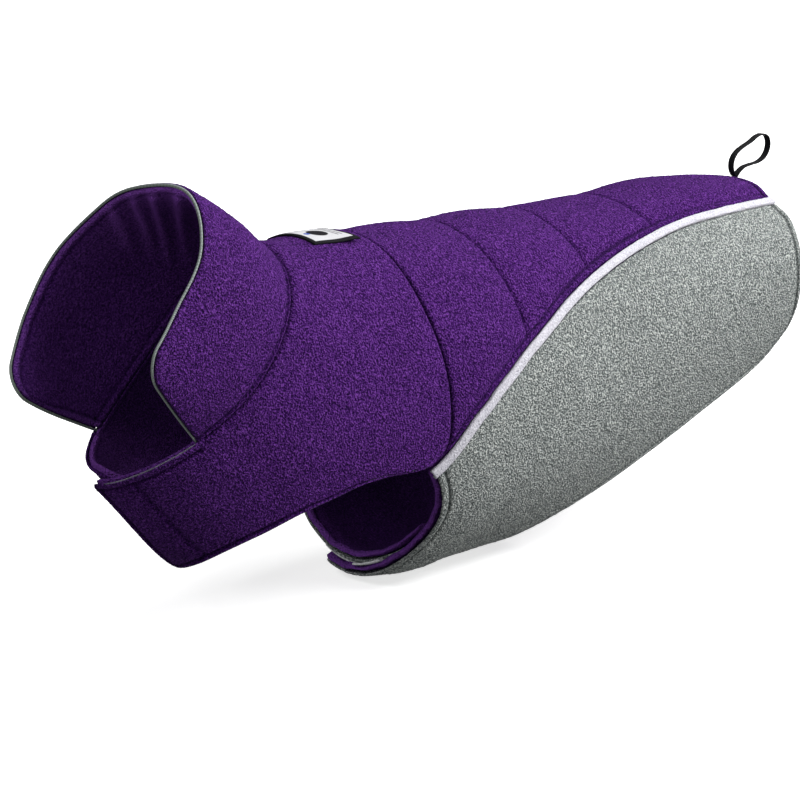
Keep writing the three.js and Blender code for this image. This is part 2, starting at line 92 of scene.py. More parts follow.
studio = {
    "world": 0.25,
    "middle": (0, 0.08, -0.09),   # where the lamps point
    # name, direction, distance, size, power
    "softboxes": [
        ("keyLight", (0.9, 0.55, 1.1), 2.2, 1.3, 60),
        ("topLight", (-0.1, 0.6, 1.0), 2.0, 1.4, 18),
        ("sideLight", (1.0, 0.4, 0.05), 2.4, 1.6, 6),
        ("lowLight", (1.0, 0.9, 0.02), 2.4, 0.8, 33),
        ("frontLight", (0.0, -1.0, 0.8), 2.2, 0.8, 11.5),
    ],
    "floorHeight": -0.2125,
    "floorColour": (0.9, 0.9, 0.905, 1),
    "floorFleck": (0.93, 0.93, 0.93, 1),
    "floorGlow": (0.62, 0.62, 0.62, 1),
    "glowFrom": 0.45,
    "glowOver": 1.2,
    "floorSize": 12,
}


# shader helpers
class Wire:
    def __init__(self, shader, socket):
        self.shader, self.socket = shader, socket

    def maths(self, operation, *values):
        return self.shader.node("ShaderNodeMath", {"operation": operation}, dict(enumerate(values)))

    def __add__(self, other):
        return self.maths("ADD", self, other)

    def __sub__(self, other):
        return self.maths("SUBTRACT", self, other)

    def __rsub__(self, other):
        return self.maths("SUBTRACT", other, self)

    def __mul__(self, other):
        return self.maths("MULTIPLY", self, other)

    def __truediv__(self, other):
        return self.maths("DIVIDE", self, other)

    def __pow__(self, other):
        return self.maths("POWER", self, other)

    def held(self):
        return self.shader.node("ShaderNodeClamp", {}, {"Value": self})

    __radd__ = __add__
    __rmul__ = __mul__


class Shader:
    def __init__(self, name):
        self.material = bpy.data.materials.new(name)
        self.material.use_nodes = True
        self.tree = self.material.node_tree
        self.tree.nodes.clear()

    def node(self, kind, settings, inputs, output=0):
        made = self.tree.nodes.new(kind)
        for key, value in settings.items():
            if key == "stops":
                for k, (place, colour) in enumerate(value):
                    if k > 1:
                        made.color_ramp.elements.new(place)
                    made.color_ramp.elements[k].position = place
                    made.color_ramp.elements[k].color = colour
            else:
                setattr(made, key, value)
        for key, value in inputs.items():
            if isinstance(value, Wire):
                self.tree.links.new(value.socket, made.inputs[key])
            else:
                made.inputs[key].default_value = value
        return Wire(self, made.outputs[output])

    def place(self):
        return self.node("ShaderNodeTexCoord", {}, {}, "Object")

    def uv(self):
        return self.node("ShaderNodeTexCoord", {}, {}, "UV")

    def painted(self, name):
        return self.node("ShaderNodeAttribute", {"attribute_name": name}, {}, "Fac")

    def noise(self, where, scale, detail=2.0, roughness=0.5, output="Fac"):
        inputs = {"Vector": where, "Scale": scale, "Detail": detail, "Roughness": roughness}
        return self.node("ShaderNodeTexNoise", {"noise_dimensions": "3D"}, inputs, output)

    def blend(self, factor, a, b):
        return self.node("ShaderNodeMix", {"data_type": "RGBA"}, {0: factor, 6: a, 7: b}, 2)

    def ramp(self, factor, stops):
        return self.node("ShaderNodeValToRGB", {"stops": stops}, {"Fac": factor})

    def bump(self, height, distance, strength=1.0):
        inputs = {"Height": height, "Distance": distance, "Strength": strength}
        return self.node("ShaderNodeBump", {}, inputs)

    def finish(self, colour, roughness, normal=None, **fixed):
        inputs = {"Base Color": colour, "Roughness": roughness}
        inputs.update({key.replace("_", " "): value for key, value in fixed.items()})
        if normal is not None:
            inputs["Normal"] = normal
        body = self.node("ShaderNodeBsdfPrincipled", {}, inputs)
        out = self.tree.nodes.new("ShaderNodeOutputMaterial")
        self.tree.links.new(body.socket, out.inputs["Surface"])
        return self.material


# fleece: curled pile a few millimetres apart, flatter where it is stitched down; the same paint darkens seams
# and grooves as painted shade and, below zero, lightens as a painted highlight
purpleFleece = {
    "deep": (0.011, 0.0010, 0.032, 1),
    "middle": (0.057, 0.0098, 0.128, 1),
    "tip": (0.155, 0.042, 0.292, 1),
    "patch": 0.16,   # how much lighter or darker whole patches are
    "patchScale": 24,
    "curlScale": 860,
    "curlGain": 2.4,
    "swirlScale": 260,
    "swirl": 0.0010,
    "fibreScale": 1500,
    "fibreGain": 0.9,
    "relief": 0.0022,
    "pressAndShadeGain": 0.25,
    "rim": (0.27, 0.28, 0.29, 1),
    "sheen": 0.03,
    "sheenTint": (0.5, 0.25, 0.9, 1),
}
liningFleece = dict(purpleFleece, deep=(0.010, 0.0011, 0.029, 1), middle=(0.054, 0.0115, 0.120, 1),
                    tip=(0.14, 0.042, 0.262, 1), curlGain=1.7, relief=0.0014)
greyFleece = dict(purpleFleece, deep=(0.095, 0.110, 0.108, 1), middle=(0.285, 0.309, 0.304, 1),
                  tip=(0.56, 0.585, 0.56, 1), curlGain=3.1, fibreGain=1.3,
                  rim=(0.6, 0.6, 0.6, 1), sheenTint=(0.9, 0.92, 0.92, 1))
paleFleece = dict(purpleFleece, deep=(0.35, 0.34, 0.40, 1), middle=(0.50, 0.49, 0.54, 1),
                  tip=(0.62, 0.615, 0.66, 1), patch=0.05, curlGain=1.6, relief=0.0008,
                  rim=(0.8, 0.8, 0.85, 1), sheenTint=(0.95, 0.93, 1.0, 1))


def fleeceMaterial(name, look):
    cloth = Shader(name)
    place = cloth.place()
    swirl = cloth.noise(place, look["swirlScale"], 1.0, 0.5, "Color")
    bent = cloth.node("ShaderNodeVectorMath", {"operation": "MULTIPLY_ADD"},
                      {0: swirl, 1: (look["swirl"],) * 3, 2: place})
    curl = cloth.noise(bent, look["curlScale"], 1.0, 0.5)
    strand = ((curl - 0.5) * look["curlGain"] + 0.5).held()
    fibre = cloth.noise(place, look["fibreScale"], 2.0, 0.6)
    patch = cloth.noise(place, look["patchScale"], 2.0, 0.5)
    pressAndPaintedLight = cloth.painted("pressAndPaintedLight")   # one where the pile is stitched flat, with painted shade in seams and grooves; below zero a painted highlight
    rim = cloth.painted("rim")
    tone = strand + (fibre - 0.5) * look["fibreGain"] - pressAndPaintedLight * 0.22
    colour = cloth.ramp(tone.held(), [(0.0, look["deep"]), (0.5, look["middle"]), (1.0, look["tip"])])
    # the stitched paint darkens the colour as painted shade, and below zero lightens it as a painted
    # highlight
    shade = 1 + (patch - 0.5) * look["patch"] - pressAndPaintedLight * look["pressAndShadeGain"]
    colour = cloth.node("ShaderNodeVectorMath", {"operation": "SCALE"}, {0: colour, "Scale": shade})
    colour = cloth.blend(rim, colour, look["rim"])
    height = (strand * 0.7 + fibre * 0.3) * (1 - pressAndPaintedLight * 0.7)
    normal = cloth.bump(height, look["relief"], 1.0)
    return cloth.finish(colour, 0.94, normal, Specular_IOR_Level=0.07, Sheen_Weight=look["sheen"],
                        Sheen_Roughness=0.5, Sheen_Tint=look["sheenTint"])


materials = {
    "purple": fleeceMaterial("purpleFleece", purpleFleece),
    "lining": fleeceMaterial("purpleLining", liningFleece),
    "grey": fleeceMaterial("greyFleece", greyFleece),
    "pale": fleeceMaterial("palePiping", paleFleece),
}
print("coat: fleece materials made")


def threadMaterial(name, dark, light):
    thread = Shader(name)
    place = thread.place()
    twist = thread.noise(place, 900, 1.0)
    colour = thread.blend(twist, dark, light)
    return thread.finish(colour, 0.8, thread.bump(twist, 0.0002, 0.6), Specular_IOR_Level=0.1)


def ribbonMaterial(name, dark, light, ribs, roughness, shine=0.3):
    ribbon = Shader(name)
    uv = ribbon.node("ShaderNodeSeparateXYZ", {}, {0: ribbon.uv()}, 0)
    down = ribbon.node("ShaderNodeSeparateXYZ", {}, {0: ribbon.uv()}, 1)
    wales = uv.maths("SINE", uv * (ribs[0] * math.tau)) * 0.5 + 0.5
    picks = uv.maths("SINE", down * (ribs[1] * math.tau)) * 0.5 + 0.5
    wear = ribbon.noise(ribbon.place(), 260, 2.0)
    weave = (wales * 0.5 + picks * 0.5) * (0.7 + wear * 0.6)
    colour = ribbon.blend(weave.held(), dark, light)
    return ribbon.finish(colour, roughness, ribbon.bump(weave, 0.0003, 0.8), Specular_IOR_Level=shine)


materials["threadPurple"] = threadMaterial("purpleThread", (0.008, 0.001, 0.024, 1), (0.045, 0.010, 0.10, 1))
materials["threadGrey"] = threadMaterial("greyThread", (0.13, 0.14, 0.14, 1), (0.36, 0.38, 0.38, 1))
materials["reflective"] = ribbonMaterial("reflectivePiping", (0.12, 0.145, 0.125, 1),
                                         (0.26, 0.295, 0.285, 1), (2, 260), 0.42)
materials["elastic"] = ribbonMaterial("blackElastic", (0.003, 0.003, 0.0035, 1),
                                      (0.013, 0.013, 0.015, 1), (5, 90), 0.75, 0.12)


def tapeMaterial(name, dark, light, scale):
    tape = Shader(name)
    place = tape.place()
    hooks = tape.node("ShaderNodeTexVoronoi", {}, {"Vector": place, "Scale": scale}, "Distance")
    fuzz = tape.noise(place, scale * 1.8, 2.0)
    tone = (1 - hooks * 1.4) * 0.6 + fuzz * 0.4
    colour = tape.blend(tone.held(), dark, light)
    return tape.finish(colour, 0.8, tape.bump(tone, 0.0006, 0.9), Sheen_Weight=0.15)


materials["tapeBlack"] = tapeMaterial("blackTape", (0.003, 0.003, 0.004, 1), (0.035, 0.035, 0.04, 1), 700)
materials["tapePale"] = tapeMaterial("paleTape", (0.5, 0.51, 0.53, 1), (0.9, 0.9, 0.92, 1), 500)


# woven label: a border, an oval, a dot and two bars, in shares of its length and width
labelLook = {
    "white": [(0.44, 0.44, 0.46, 1), (0.64, 0.64, 0.66, 1)],
    "black": [(0.003, 0.003, 0.004, 1), (0.011, 0.010, 0.014, 1)],
    "blue": (0.03, 0.07, 0.35, 1),
    "border": (0.06, 0.085),
    "bars": [(0.72, 0.755), (0.80, 0.835)],
    "barEnds": (0.18, 0.62),
    "oval": (0.36, 0.46, 0.15),
    "dot": (0.36, 0.22, 0.05),
    "narrow": 0.55,   # the marks are drawn in shares, so this makes them round on the long label
    "threads": (64, 44),
}


def labelMaterial(look):
    label = Shader("wovenLabel")
    uv = label.uv()
    u = label.node("ShaderNodeSeparateXYZ", {}, {0: uv}, 0)
    v = label.node("ShaderNodeSeparateXYZ", {}, {0: uv}, 1)

    def inside(value, low, high, soft=0.012):
        rise = ((value - low) / soft).held()
        fall = ((high - value) / soft).held()
        return rise * fall

    def disc(middleU, middleV, radius):
        away = ((u - middleU) ** 2 + (v - middleV) ** 2 * look["narrow"]) ** 0.5
        return ((radius - away) / 0.01).held()

    endBorder, sideBorder = look["border"]
    field = inside(u, endBorder, 1 - endBorder, 0.008) * inside(v, sideBorder, 1 - sideBorder, 0.01)
    lines = [inside(v, low, high, 0.01) for low, high in look["bars"]]
    bars = inside(u, *look["barEnds"], 0.008) * (lines[0] + lines[1])
    across, along = u * (look["threads"][0] * math.tau), v * (look["threads"][1] * math.tau)
    weave = u.maths("SINE", across) * u.maths("SINE", along) * 0.5 + 0.5
    fuzz = label.noise(label.place(), 1400, 1.0)
    white = label.blend(weave * 0.5 + fuzz * 0.5, *look["white"])
    black = label.blend(weave * 0.5 + fuzz * 0.5, *look["black"])
    colour = label.blend(field, black, white)
    colour = label.blend((bars + disc(*look["oval"])).held(), colour, black)
    colour = label.blend(disc(*look["dot"]), colour, look["blue"])
    height = weave * 0.6 + fuzz * 0.4 + (1 - field) * 1.2
    return label.finish(colour, 0.62, label.bump(height, 0.0003, 0.7), Specular_IOR_Level=0.06)


materials["label"] = labelMaterial(labelLook)
print("coat: trim materials made")


# the body's surface, in millimetres, from the same tables as the solids
class Curve:
    def __init__(self, rows):
        table = np.array(rows, float)
        self.x, self.y = table[:, 0], table[:, 1:]
        self.step = np.diff(self.x)
        slope = np.diff(self.y, axis=0) / self.step[:, None]
        self.bend = np.empty_like(self.y)
        self.bend[0], self.bend[-1] = slope[0], slope[-1]
        before, after = self.step[:-1, None], self.step[1:, None]
        self.bend[1:-1] = (slope[:-1] * after + slope[1:] * before) / (before + after)

    def at(self, value):
        value = np.asarray(value, float)
        k = np.clip(np.searchsorted(self.x, value, side="right") - 1, 0, len(self.step) - 1)
        span = self.step[k][..., None]
        t = ((value - self.x[k]) / self.step[k])[..., None]
        fixed = self.y[k] * (1 + 2 * t) * (1 - t) ** 2 + self.y[k + 1] * t * t * (3 - 2 * t)
        return fixed + span * (self.bend[k] * t * (1 - t) ** 2 + self.bend[k + 1] * t * t * (t - 1))


# distance along the spine, spine point (y, z), opposite point (y, z), half width, widest at, lean, roll
rings = Curve([
    (0, -75, 10.5, -196, -113.5, 63.5, 0.58, 25, 7),
    (38, -38, 8, -130, -179, 75.5, 0.54, 23, 2.5),
    (75, 0, 5, -22, -204, 83.5, 0.52, 19, 0),
    (147.5, 72.5, 6.4, 60, -209, 84, 0.49, 13, 0),
    (220, 145, 6.5, 139, -205, 80.6, 0.46, 9, 0),
    (292.5, 217.5, 7, 217, -190, 79, 0.41, 12, 0),
    (365, 290, 6.8, 286, -164, 74.4, 0.37, 11, 0),
    (430, 355, 0.5, 364, -126, 66, 0.33, 6, 0),
])


def ramp(low, high, value):
    t = np.clip((np.asarray(value, float) - low) / (high - low), 0, 1)
    return t * t * (3 - 2 * t)


def bodyPoint(u, deg):
    u, deg = np.broadcast_arrays(np.asarray(u, float), np.asarray(deg, float))
    topY, topZ, botY, botZ, half, wideAt, lean, roll = np.moveaxis(rings.at(u), -1, 0)
    angle = np.radians(deg)
    c, s = np.cos(angle), np.sin(angle)
    share = np.where(c >= 0, wideAt * (1 - c), wideAt - (1 - wideAt) * c)
    x, tilt = half * s, np.radians(roll)
    y = topY + (botY - topY) * share + lean * s * s
    z = topZ + (botZ - topZ) * share + x * np.sin(tilt)
    return np.stack([x * np.cos(tilt), y, z], -1)


def unit(v):
    return v / np.maximum(np.linalg.norm(v, axis=-1, keepdims=True), 1e-9)


def bodyNormal(u, deg):
    along = bodyPoint(u + 0.5, deg) - bodyPoint(u - 0.5, deg)
    around = bodyPoint(u, deg + 0.5) - bodyPoint(u, deg - 0.5)
    return unit(np.cross(around, along))


def stepAside(u, deg, du, ddeg, distance):
    alongU = (bodyPoint(u + 0.25, deg) - bodyPoint(u - 0.25, deg)) / 0.5
    alongDeg = (bodyPoint(u, deg + 0.25) - bodyPoint(u, deg - 0.25)) / 0.5
    line = unit(alongU * du[..., None] + alongDeg * ddeg[..., None])
    aside = unit(np.cross(line, bodyNormal(u, deg))) * distance
    uu, ud, dd = (alongU ** 2).sum(-1), (alongU * alongDeg).sum(-1), (alongDeg ** 2).sum(-1)
    au, ad = (alongU * aside).sum(-1), (alongDeg * aside).sum(-1)
    det = uu * dd - ud * ud
    return u + (au * dd - ad * ud) / det, deg + (ad * uu - au * ud) / det


pipingLine = Curve([
    (70, 107), (74.4, 101.9), (84, 91.8), (104, 82.2), (130, 75.9), (161, 67.6),
    (194, 58.9), (230, 51.4), (270, 45.2), (312, 41.2), (360, 41), (413.6, 40.6),
])
pipingFront, pipingRear = 71.4, 413.6


def besidePiping(u, distance):
    u = np.asarray(u, float)
    deg = pipingLine.at(u)[..., 0]
    slope = pipingLine.at(u + 0.5)[..., 0] - pipingLine.at(u - 0.5)[..., 0]
    return stepAside(u, deg, np.ones_like(u), slope, distance)


def edgeDeg(u, distance):
    source = np.array(u, float)
    for _ in range(8):
        source = source + (u - besidePiping(source, distance)[0])
    return besidePiping(source, distance)[1]


# cloth helpers
cloth = {
    "outer": 2.6,
    "gap": 0.75,
    "lining": 1.55,
    "overlapSink": 8.5,
    "rightFlapDrop": 6,
}
wall = cloth["outer"] + cloth["gap"] + cloth["lining"]


def spread(low, high, count, crowd=0.0):
    x = np.linspace(0, 1, count + 1)
    return low + (high - low) * (x - crowd * np.sin(math.tau * x) / math.tau)


def edgeDistances(p):
    across = np.cumsum(np.linalg.norm(np.diff(p, axis=1), axis=2), axis=1)
    down = np.cumsum(np.linalg.norm(np.diff(p, axis=0), axis=2), axis=0)
    left = np.concatenate([np.zeros((p.shape[0], 1)), across], axis=1)
    top = np.concatenate([np.zeros((1, p.shape[1])), down], axis=0)
    return {"left": left, "right": left[:, -1:] - left, "top": top, "bottom": top[-1:] - top}


def tuck(distance, radius, depth):
    t = np.clip(distance / radius, 0, 1)
    return -depth * (1 - np.sqrt(1 - (1 - t) ** 2))


# one at a place along a distance, falling off smoothly to both sides
def peak(distance, place, width):
    return np.exp(-((distance - place) / width) ** 2)


# round bead along a hem, with the stitched groove inside it
def rolledHem(distance, width, rise, dip):
    bead = np.sqrt(np.clip(1 - ((distance - width / 2) / (width / 2)) ** 2, 0, 1))
    low = np.where(distance < width / 2, 0.45, 1) * dip
    after = -dip * np.exp(-np.maximum(distance - width, 0) ** 2 / 2.0)
    return np.where(distance < width, bead * (rise + low) - low, after)


# turns the corner between two edges into an arc
def roundCorner(p, one, other, radius):
    row, column = np.unravel_index(np.argmin(np.abs(one - radius) + np.abs(other - radius)), one.shape)
    x, y = np.clip(1 - one / radius, 1e-6, 1), np.clip(1 - other / radius, 1e-6, 1)
    shrink = np.where((one < radius) & (other < radius), np.maximum(x, y) / np.hypot(x, y), 1)
    return p[row, column] + (p - p[row, column]) * shrink[..., None]


def groove(distance, width, depth):
    return -depth * peak(distance, 0, width)


def drift(p, size, seed):
    random = np.random.RandomState(seed)
    total = np.zeros(p.shape[:-1])
    for _ in range(7):
        way = random.normal(size=3)
        way /= np.linalg.norm(way) * size * random.uniform(0.7, 1.5)
        total += np.sin(p @ way * math.tau + random.uniform(0, math.tau))
    return total / 7


def distanceToLine(p, line):
    best = np.full(p.shape[:-1], 1e9)
    for a, b in zip(line[:-1], line[1:]):
        run = b - a
        t = np.clip(((p - a) @ run) / (run @ run), 0, 1)
        best = np.minimum(best, np.linalg.norm(p - (a + t[..., None] * run), axis=-1))
    return best


def addSheet(name, places, normals, material, thickness, paint={}, inward=False):
    rows, columns = places.shape[:2]
    bm = bmesh.new()
    bm.loops.layers.uv.new("UVMap")
    bmesh.ops.create_grid(bm, x_segments=columns - 1, y_segments=rows - 1, size=0.5, calc_uvs=True)
    column = [round((v.co.x + 0.5) * (columns - 1)) for v in bm.verts]
    row = [round((v.co.y + 0.5) * (rows - 1)) for v in bm.verts]
    spots = places[row, column] * mm
    for v, spot in zip(bm.verts, spots):
        v.co = spot
    bm.normal_update()
    outward = normals[row, column]
    facing = sum(v.normal.dot(Vector(n)) for v, n in zip(bm.verts, outward))
    if (facing < 0) != inward:
        bmesh.ops.reverse_faces(bm, faces=bm.faces)
    mesh = bpy.data.meshes.new(name)
    bm.to_mesh(mesh)
    bm.free()
    mesh.polygons.foreach_set("use_smooth", [True] * len(mesh.polygons))
    for key in ("pressAndPaintedLight", "rim"):
        values = paint.get(key, np.zeros((rows, columns)))[row, column]
        mesh.attributes.new(key, "FLOAT", "POINT").data.foreach_set("value", values.astype(np.float32))
    mesh.materials.append(material)
    piece = bpy.data.objects.new(name, mesh)
    bpy.context.scene.collection.objects.link(piece)
    thick = np.broadcast_to(np.asarray(thickness, float), (rows, columns))
    group = piece.vertex_groups.new(name="wall")
    most = float(thick.max())
    for k, value in enumerate(thick[row, column] / most):
        group.add([k], float(value), "REPLACE")
    solid = piece.modifiers.new("wall", "SOLIDIFY")
    solid.thickness, solid.offset, solid.use_rim = most * mm, -1, True
    solid.vertex_group, solid.thickness_vertex_group = "wall", 0.0
    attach(piece, "root")
    return piece


def declare(nodes):
    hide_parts(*nodes)


# threads: short stitches laid along lines on the cloth
stitch = {"pitch": 3.4, "length": 2.5, "width": 0.55, "height": 0.4}


def addStitches(name, lines, material, size=stitch, lift=0.1):
    bm = bmesh.new()
    for places, normals in lines:
        steps = np.linalg.norm(np.diff(places, axis=0), axis=1)
        run = np.concatenate([[0], np.cumsum(steps)])
        count = int(run[-1] / size["pitch"])
        if count < 1:
            continue
        at = (np.arange(count) + 0.5) * run[-1] / count
        middle = np.stack([np.interp(at, run, places[:, k]) for k in range(3)], -1)
        ahead = np.stack([np.interp(at + 0.5, run, places[:, k]) for k in range(3)], -1)
        behind = np.stack([np.interp(at - 0.5, run, places[:, k]) for k in range(3)], -1)
        out = unit(np.stack([np.interp(at, run, normals[:, k]) for k in range(3)], -1))
        along = unit(ahead - behind)
        side = unit(np.cross(out, along))
        for m, a, s, o in zip(middle + out * lift, along, side, out):
            turn = Matrix((a * size["length"], s * size["width"], o * size["height"])).transposed() * 0.5
            place = turn.to_4x4()
            place.translation = Vector(m)
            place = Matrix.Scale(mm, 4) @ place @ Matrix.Rotation(math.pi / 2, 4, "Y")
            bmesh.ops.create_uvsphere(bm, u_segments=6, v_segments=4, radius=1.0, matrix=place)
    bmesh.ops.recalc_face_normals(bm, faces=bm.faces)
    mesh = bpy.data.meshes.new(name)
    bm.to_mesh(mesh)
    bm.free()
    mesh.polygons.foreach_set("use_smooth", [True] * len(mesh.polygons))
    mesh.materials.append(material)
    piece = bpy.data.objects.new(name, mesh)
    bpy.context.scene.collection.objects.link(piece)
    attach(piece, "root")
    return piece


# line on a made panel at a distance from one of its edges, between two shares of that edge
def lineBeside(panel, edge, distance, low=0.0, high=1.0):
    far = panel["edges"][edge]
    p, n = panel["places"], panel["normals"]
    if edge in ("top", "bottom"):
        far, p, n = far.T, p.transpose(1, 0, 2), n.transpose(1, 0, 2)
    if edge in ("right", "bottom"):
        far, p, n = far[:, ::-1], p[:, ::-1], n[:, ::-1]
    rows = range(int(low * (len(far) - 1)), int(high * (len(far) - 1)) + 1)
    spots = [[np.interp(distance, far[r], p[r, :, k]) for k in range(3)] for r in rows]
    outs = [[np.interp(distance, far[r], n[r, :, k]) for k in range(3)] for r in rows]
    return np.array(spots), np.array(outs)


# front piece with its two chest flaps
frontPiece = {
    "columns": 360,
    "rows": 66,
    "leftEnd": 183.5,
    "rightEnd": -210,
    "flapFrom": 150,      # the left flap's end, in degrees round the neck
    "flapTo": 181.5,
    "flapReach": 0.8,     # its lower corner, and how hollow its end is, in degrees
    "flapHollow": 3.4,
    "hollowLow": 1.35,
    "neckCorner": 6,
    "lowCorner": 5,
    "endHem": 3.9,
    "neckHem": 5.4,
    "hemBead": 4.6,
    "hemRise": 0.45,
    "hemDip": 1.6,
    "tapeSeam": 158.8,
    "rightTapeSeam": -187,
    "mmPerDegree": 1.15,
    "wave": 0.9,
    "pile": 0.13,
}
# how far the padded top stands above the solids along the spine
topLift = Curve([
    (0, 0.6), (8, 1.8), (23, 1.6), (38, 3.8), (55, 4.6), (70, 5.0), (86, 3.5), (102, 3.3), (119, 2.4),
    (136, 0.7), (153, 0), (187, 0.4), (223, -1.2), (259, -2.3), (296, -1.8), (315, -1.2), (335, 0),
    (354, 0.3), (375, 0.0), (394, 0.6), (430, 0.6),
])
# degrees at the neck edge, then distance along the spine and degrees at the lower edge
frontLines = Curve([
    (0, 74.7, 0), (60, 74.8, 59), (74, 75.1, 72.5), (82, 75.2, 80.3), (90, 75.1, 88.9), (94, 74.7, 93.3),
    (97, 73.8, 96.8), (100, 71.6, 100.4), (103, 66.8, 103.2), (107, 59, 104.8), (112, 51, 108.5),
    (118, 44.6, 115.3), (126, 39.4, 123.2), (138, 35.1, 136.6), (152, 33.2, 150.6),
    (166, 33.9, 165.5), (181, 35.8, 181), (210, 36, 210),
])


def flapSink(deg):
    return cloth["overlapSink"] * ramp(126, 171, deg)


def frontPlaces(neckDeg, share):
    line = frontLines.at(np.abs(neckDeg))
    lowU = line[..., 0] + 0.5 * (1 - ramp(97, 102, np.abs(neckDeg)))   # meets the back at the first seam
    flapEnd = ramp(frontPiece["flapFrom"], frontPiece["flapTo"], neckDeg)
    lowDeg = line[..., 1] + frontPiece["flapReach"] * flapEnd
    neckU = 0.05 + cloth["rightFlapDrop"] * ramp(168, 205, -neckDeg)
    u = neckU + (lowU - neckU) * share
    deg = np.sign(neckDeg) * (np.abs(neckDeg) + (lowDeg - np.abs(neckDeg)) * share)
    hollow = np.sin(math.pi * np.clip(share, 0, 1) ** frontPiece["hollowLow"])
    deg = deg - frontPiece["flapHollow"] * hollow * flapEnd
    sink = np.where(neckDeg < 0, flapSink(np.abs(neckDeg)), 0)
    return u, deg, sink


def liftAt(u, deg):
    return topLift.at(u)[..., 0] * (1 - ramp(16, 56, np.abs(deg)))


def shoulderPuff(neckDeg, share):
    return liftAt(frontPlaces(neckDeg, share)[0], neckDeg)


# distances from the front piece's free edges and from its sewn ones
def frontEdges(base, neckDeg):
    edges = edgeDistances(base)
    openTop = ramp(124, 128, np.abs(neckDeg))
    openLow = ramp(100.5, 104, np.abs(neckDeg))
    neck = edges["top"] + 60 * (1 - openTop)
    end = np.minimum(np.minimum(edges["left"], edges["right"]), edges["bottom"] + 60 * (1 - openLow))
    collarSeam = edges["top"] + 60 * openTop
    backSeam = edges["bottom"] + 60 * openLow
    return edges, neck, end, collarSeam, backSeam


def frontGrid(columns, rows):
    neck = spread(frontPiece["rightEnd"], frontPiece["leftEnd"], columns, 0.5)
    neckDeg, shares = np.meshgrid(neck, spread(0, 1, rows, 0.5))
    u, deg, sink = frontPlaces(neckDeg, shares)
    base, normals = bodyPoint(u, deg), bodyNormal(u, deg)
    base = base - normals * sink[..., None]
    edges = edgeDistances(base)
    for end in ("left", "right"):
        base = roundCorner(base, edges[end], edges["top"], frontPiece["neckCorner"])
        base = roundCorner(base, edges[end], edges["bottom"], frontPiece["lowCorner"])
    return neckDeg, shares, base, normals


def makeFront(spec):
    neckDeg, shares, base, normals = frontGrid(spec["columns"], spec["rows"])
    edges, neck, end, collarSeam, backSeam = frontEdges(base, neckDeg)
    free, sewn = np.minimum(neck, end), np.minimum(collarSeam, backSeam)
    seamDeg = np.where(neckDeg > 0, neckDeg - spec["tapeSeam"], neckDeg - spec["rightTapeSeam"])
    tapeSeam = np.abs(seamDeg) * spec["mmPerDegree"] + 40 * (free < 4.5)   # it stops short of the hems
    random = np.random.RandomState(3)
    hem = np.minimum(neck / spec["neckHem"], end / spec["endHem"])
    out = rolledHem(hem * spec["hemBead"], spec["hemBead"], spec["hemRise"], spec["hemDip"])
    out += tuck(collarSeam, 4.0, 2.0) + 0.7 * peak(collarSeam, 4.5, 3.0)
    out += tuck(backSeam, 3.6, 1.3)
    out += groove(tapeSeam, 1.7, 1.0)
    calm = ramp(2, 14, np.minimum(free, sewn))
    out += spec["wave"] * drift(base, 70, 11) * calm + 0.4 * drift(base, 19, 12) * calm
    out += 0.35 * drift(base, 26, 13) * np.exp(-np.minimum(neck, collarSeam) / 6)
    out += shoulderPuff(neckDeg, shares)
    out += random.normal(0, spec["pile"], out.shape) * ramp(0.2, 2, np.minimum(free, sewn))
    # pile stitched flat along the hems and the tape seam, with painted shade in these grooves and along the
    # sewn seams
    pressAndPaintedLight = np.maximum(peak(end, spec["endHem"], 0.9), peak(neck, spec["neckHem"], 0.9))
    pressAndPaintedLight = np.maximum(1.5 * pressAndPaintedLight, peak(tapeSeam, 0, 1.5))
    pressAndPaintedLight = np.maximum(pressAndPaintedLight, 0.9 * peak(sewn, 0, 1.4))
    # thin pale line painted along the left side's neck edge and part of its lower edge
    rim = peak(neck, 0, 0.32) * (neckDeg > 0) * ramp(9, 16, end)
    lowRim = ramp(101, 104, neckDeg) * (1 - ramp(138, 150, neckDeg))
    rim = np.maximum(rim, 0.9 * peak(edges["bottom"], 0, 0.7) * lowRim)
    places = base + normals * out[..., None]
    thick = 1.1 + (cloth["outer"] - 1.1) * ramp(0.5, 6, np.minimum(free, sewn))
    paint = {"pressAndPaintedLight": pressAndPaintedLight, "rim": rim}
    piece = addSheet("frontPiece", places, normals, materials["purple"], thick, paint)
    innerDeg, innerShare, inner, innerOut = frontGrid(250, 48)
    _, neck, end, collarSeam, _ = frontEdges(inner, innerDeg)
    # the right flap's inner face is lightened as a painted highlight
    liner = addLining("frontLining", inner, innerOut, np.minimum(neck, end),
                      shoulderPuff(innerDeg, innerShare), seam=collarSeam + 1.5,
                      paintedLight=2.4 * ramp(105, 140, -innerDeg))
    return {"piece": piece, "lining": liner, "places": places, "normals": normals, "edges": edges}


# the lining is turned out over each free edge, where it makes a full round lip
liningLip = {"nose": 1.9, "roll": 2.4, "stitch": 5.2, "stitchWidth": 0.9}


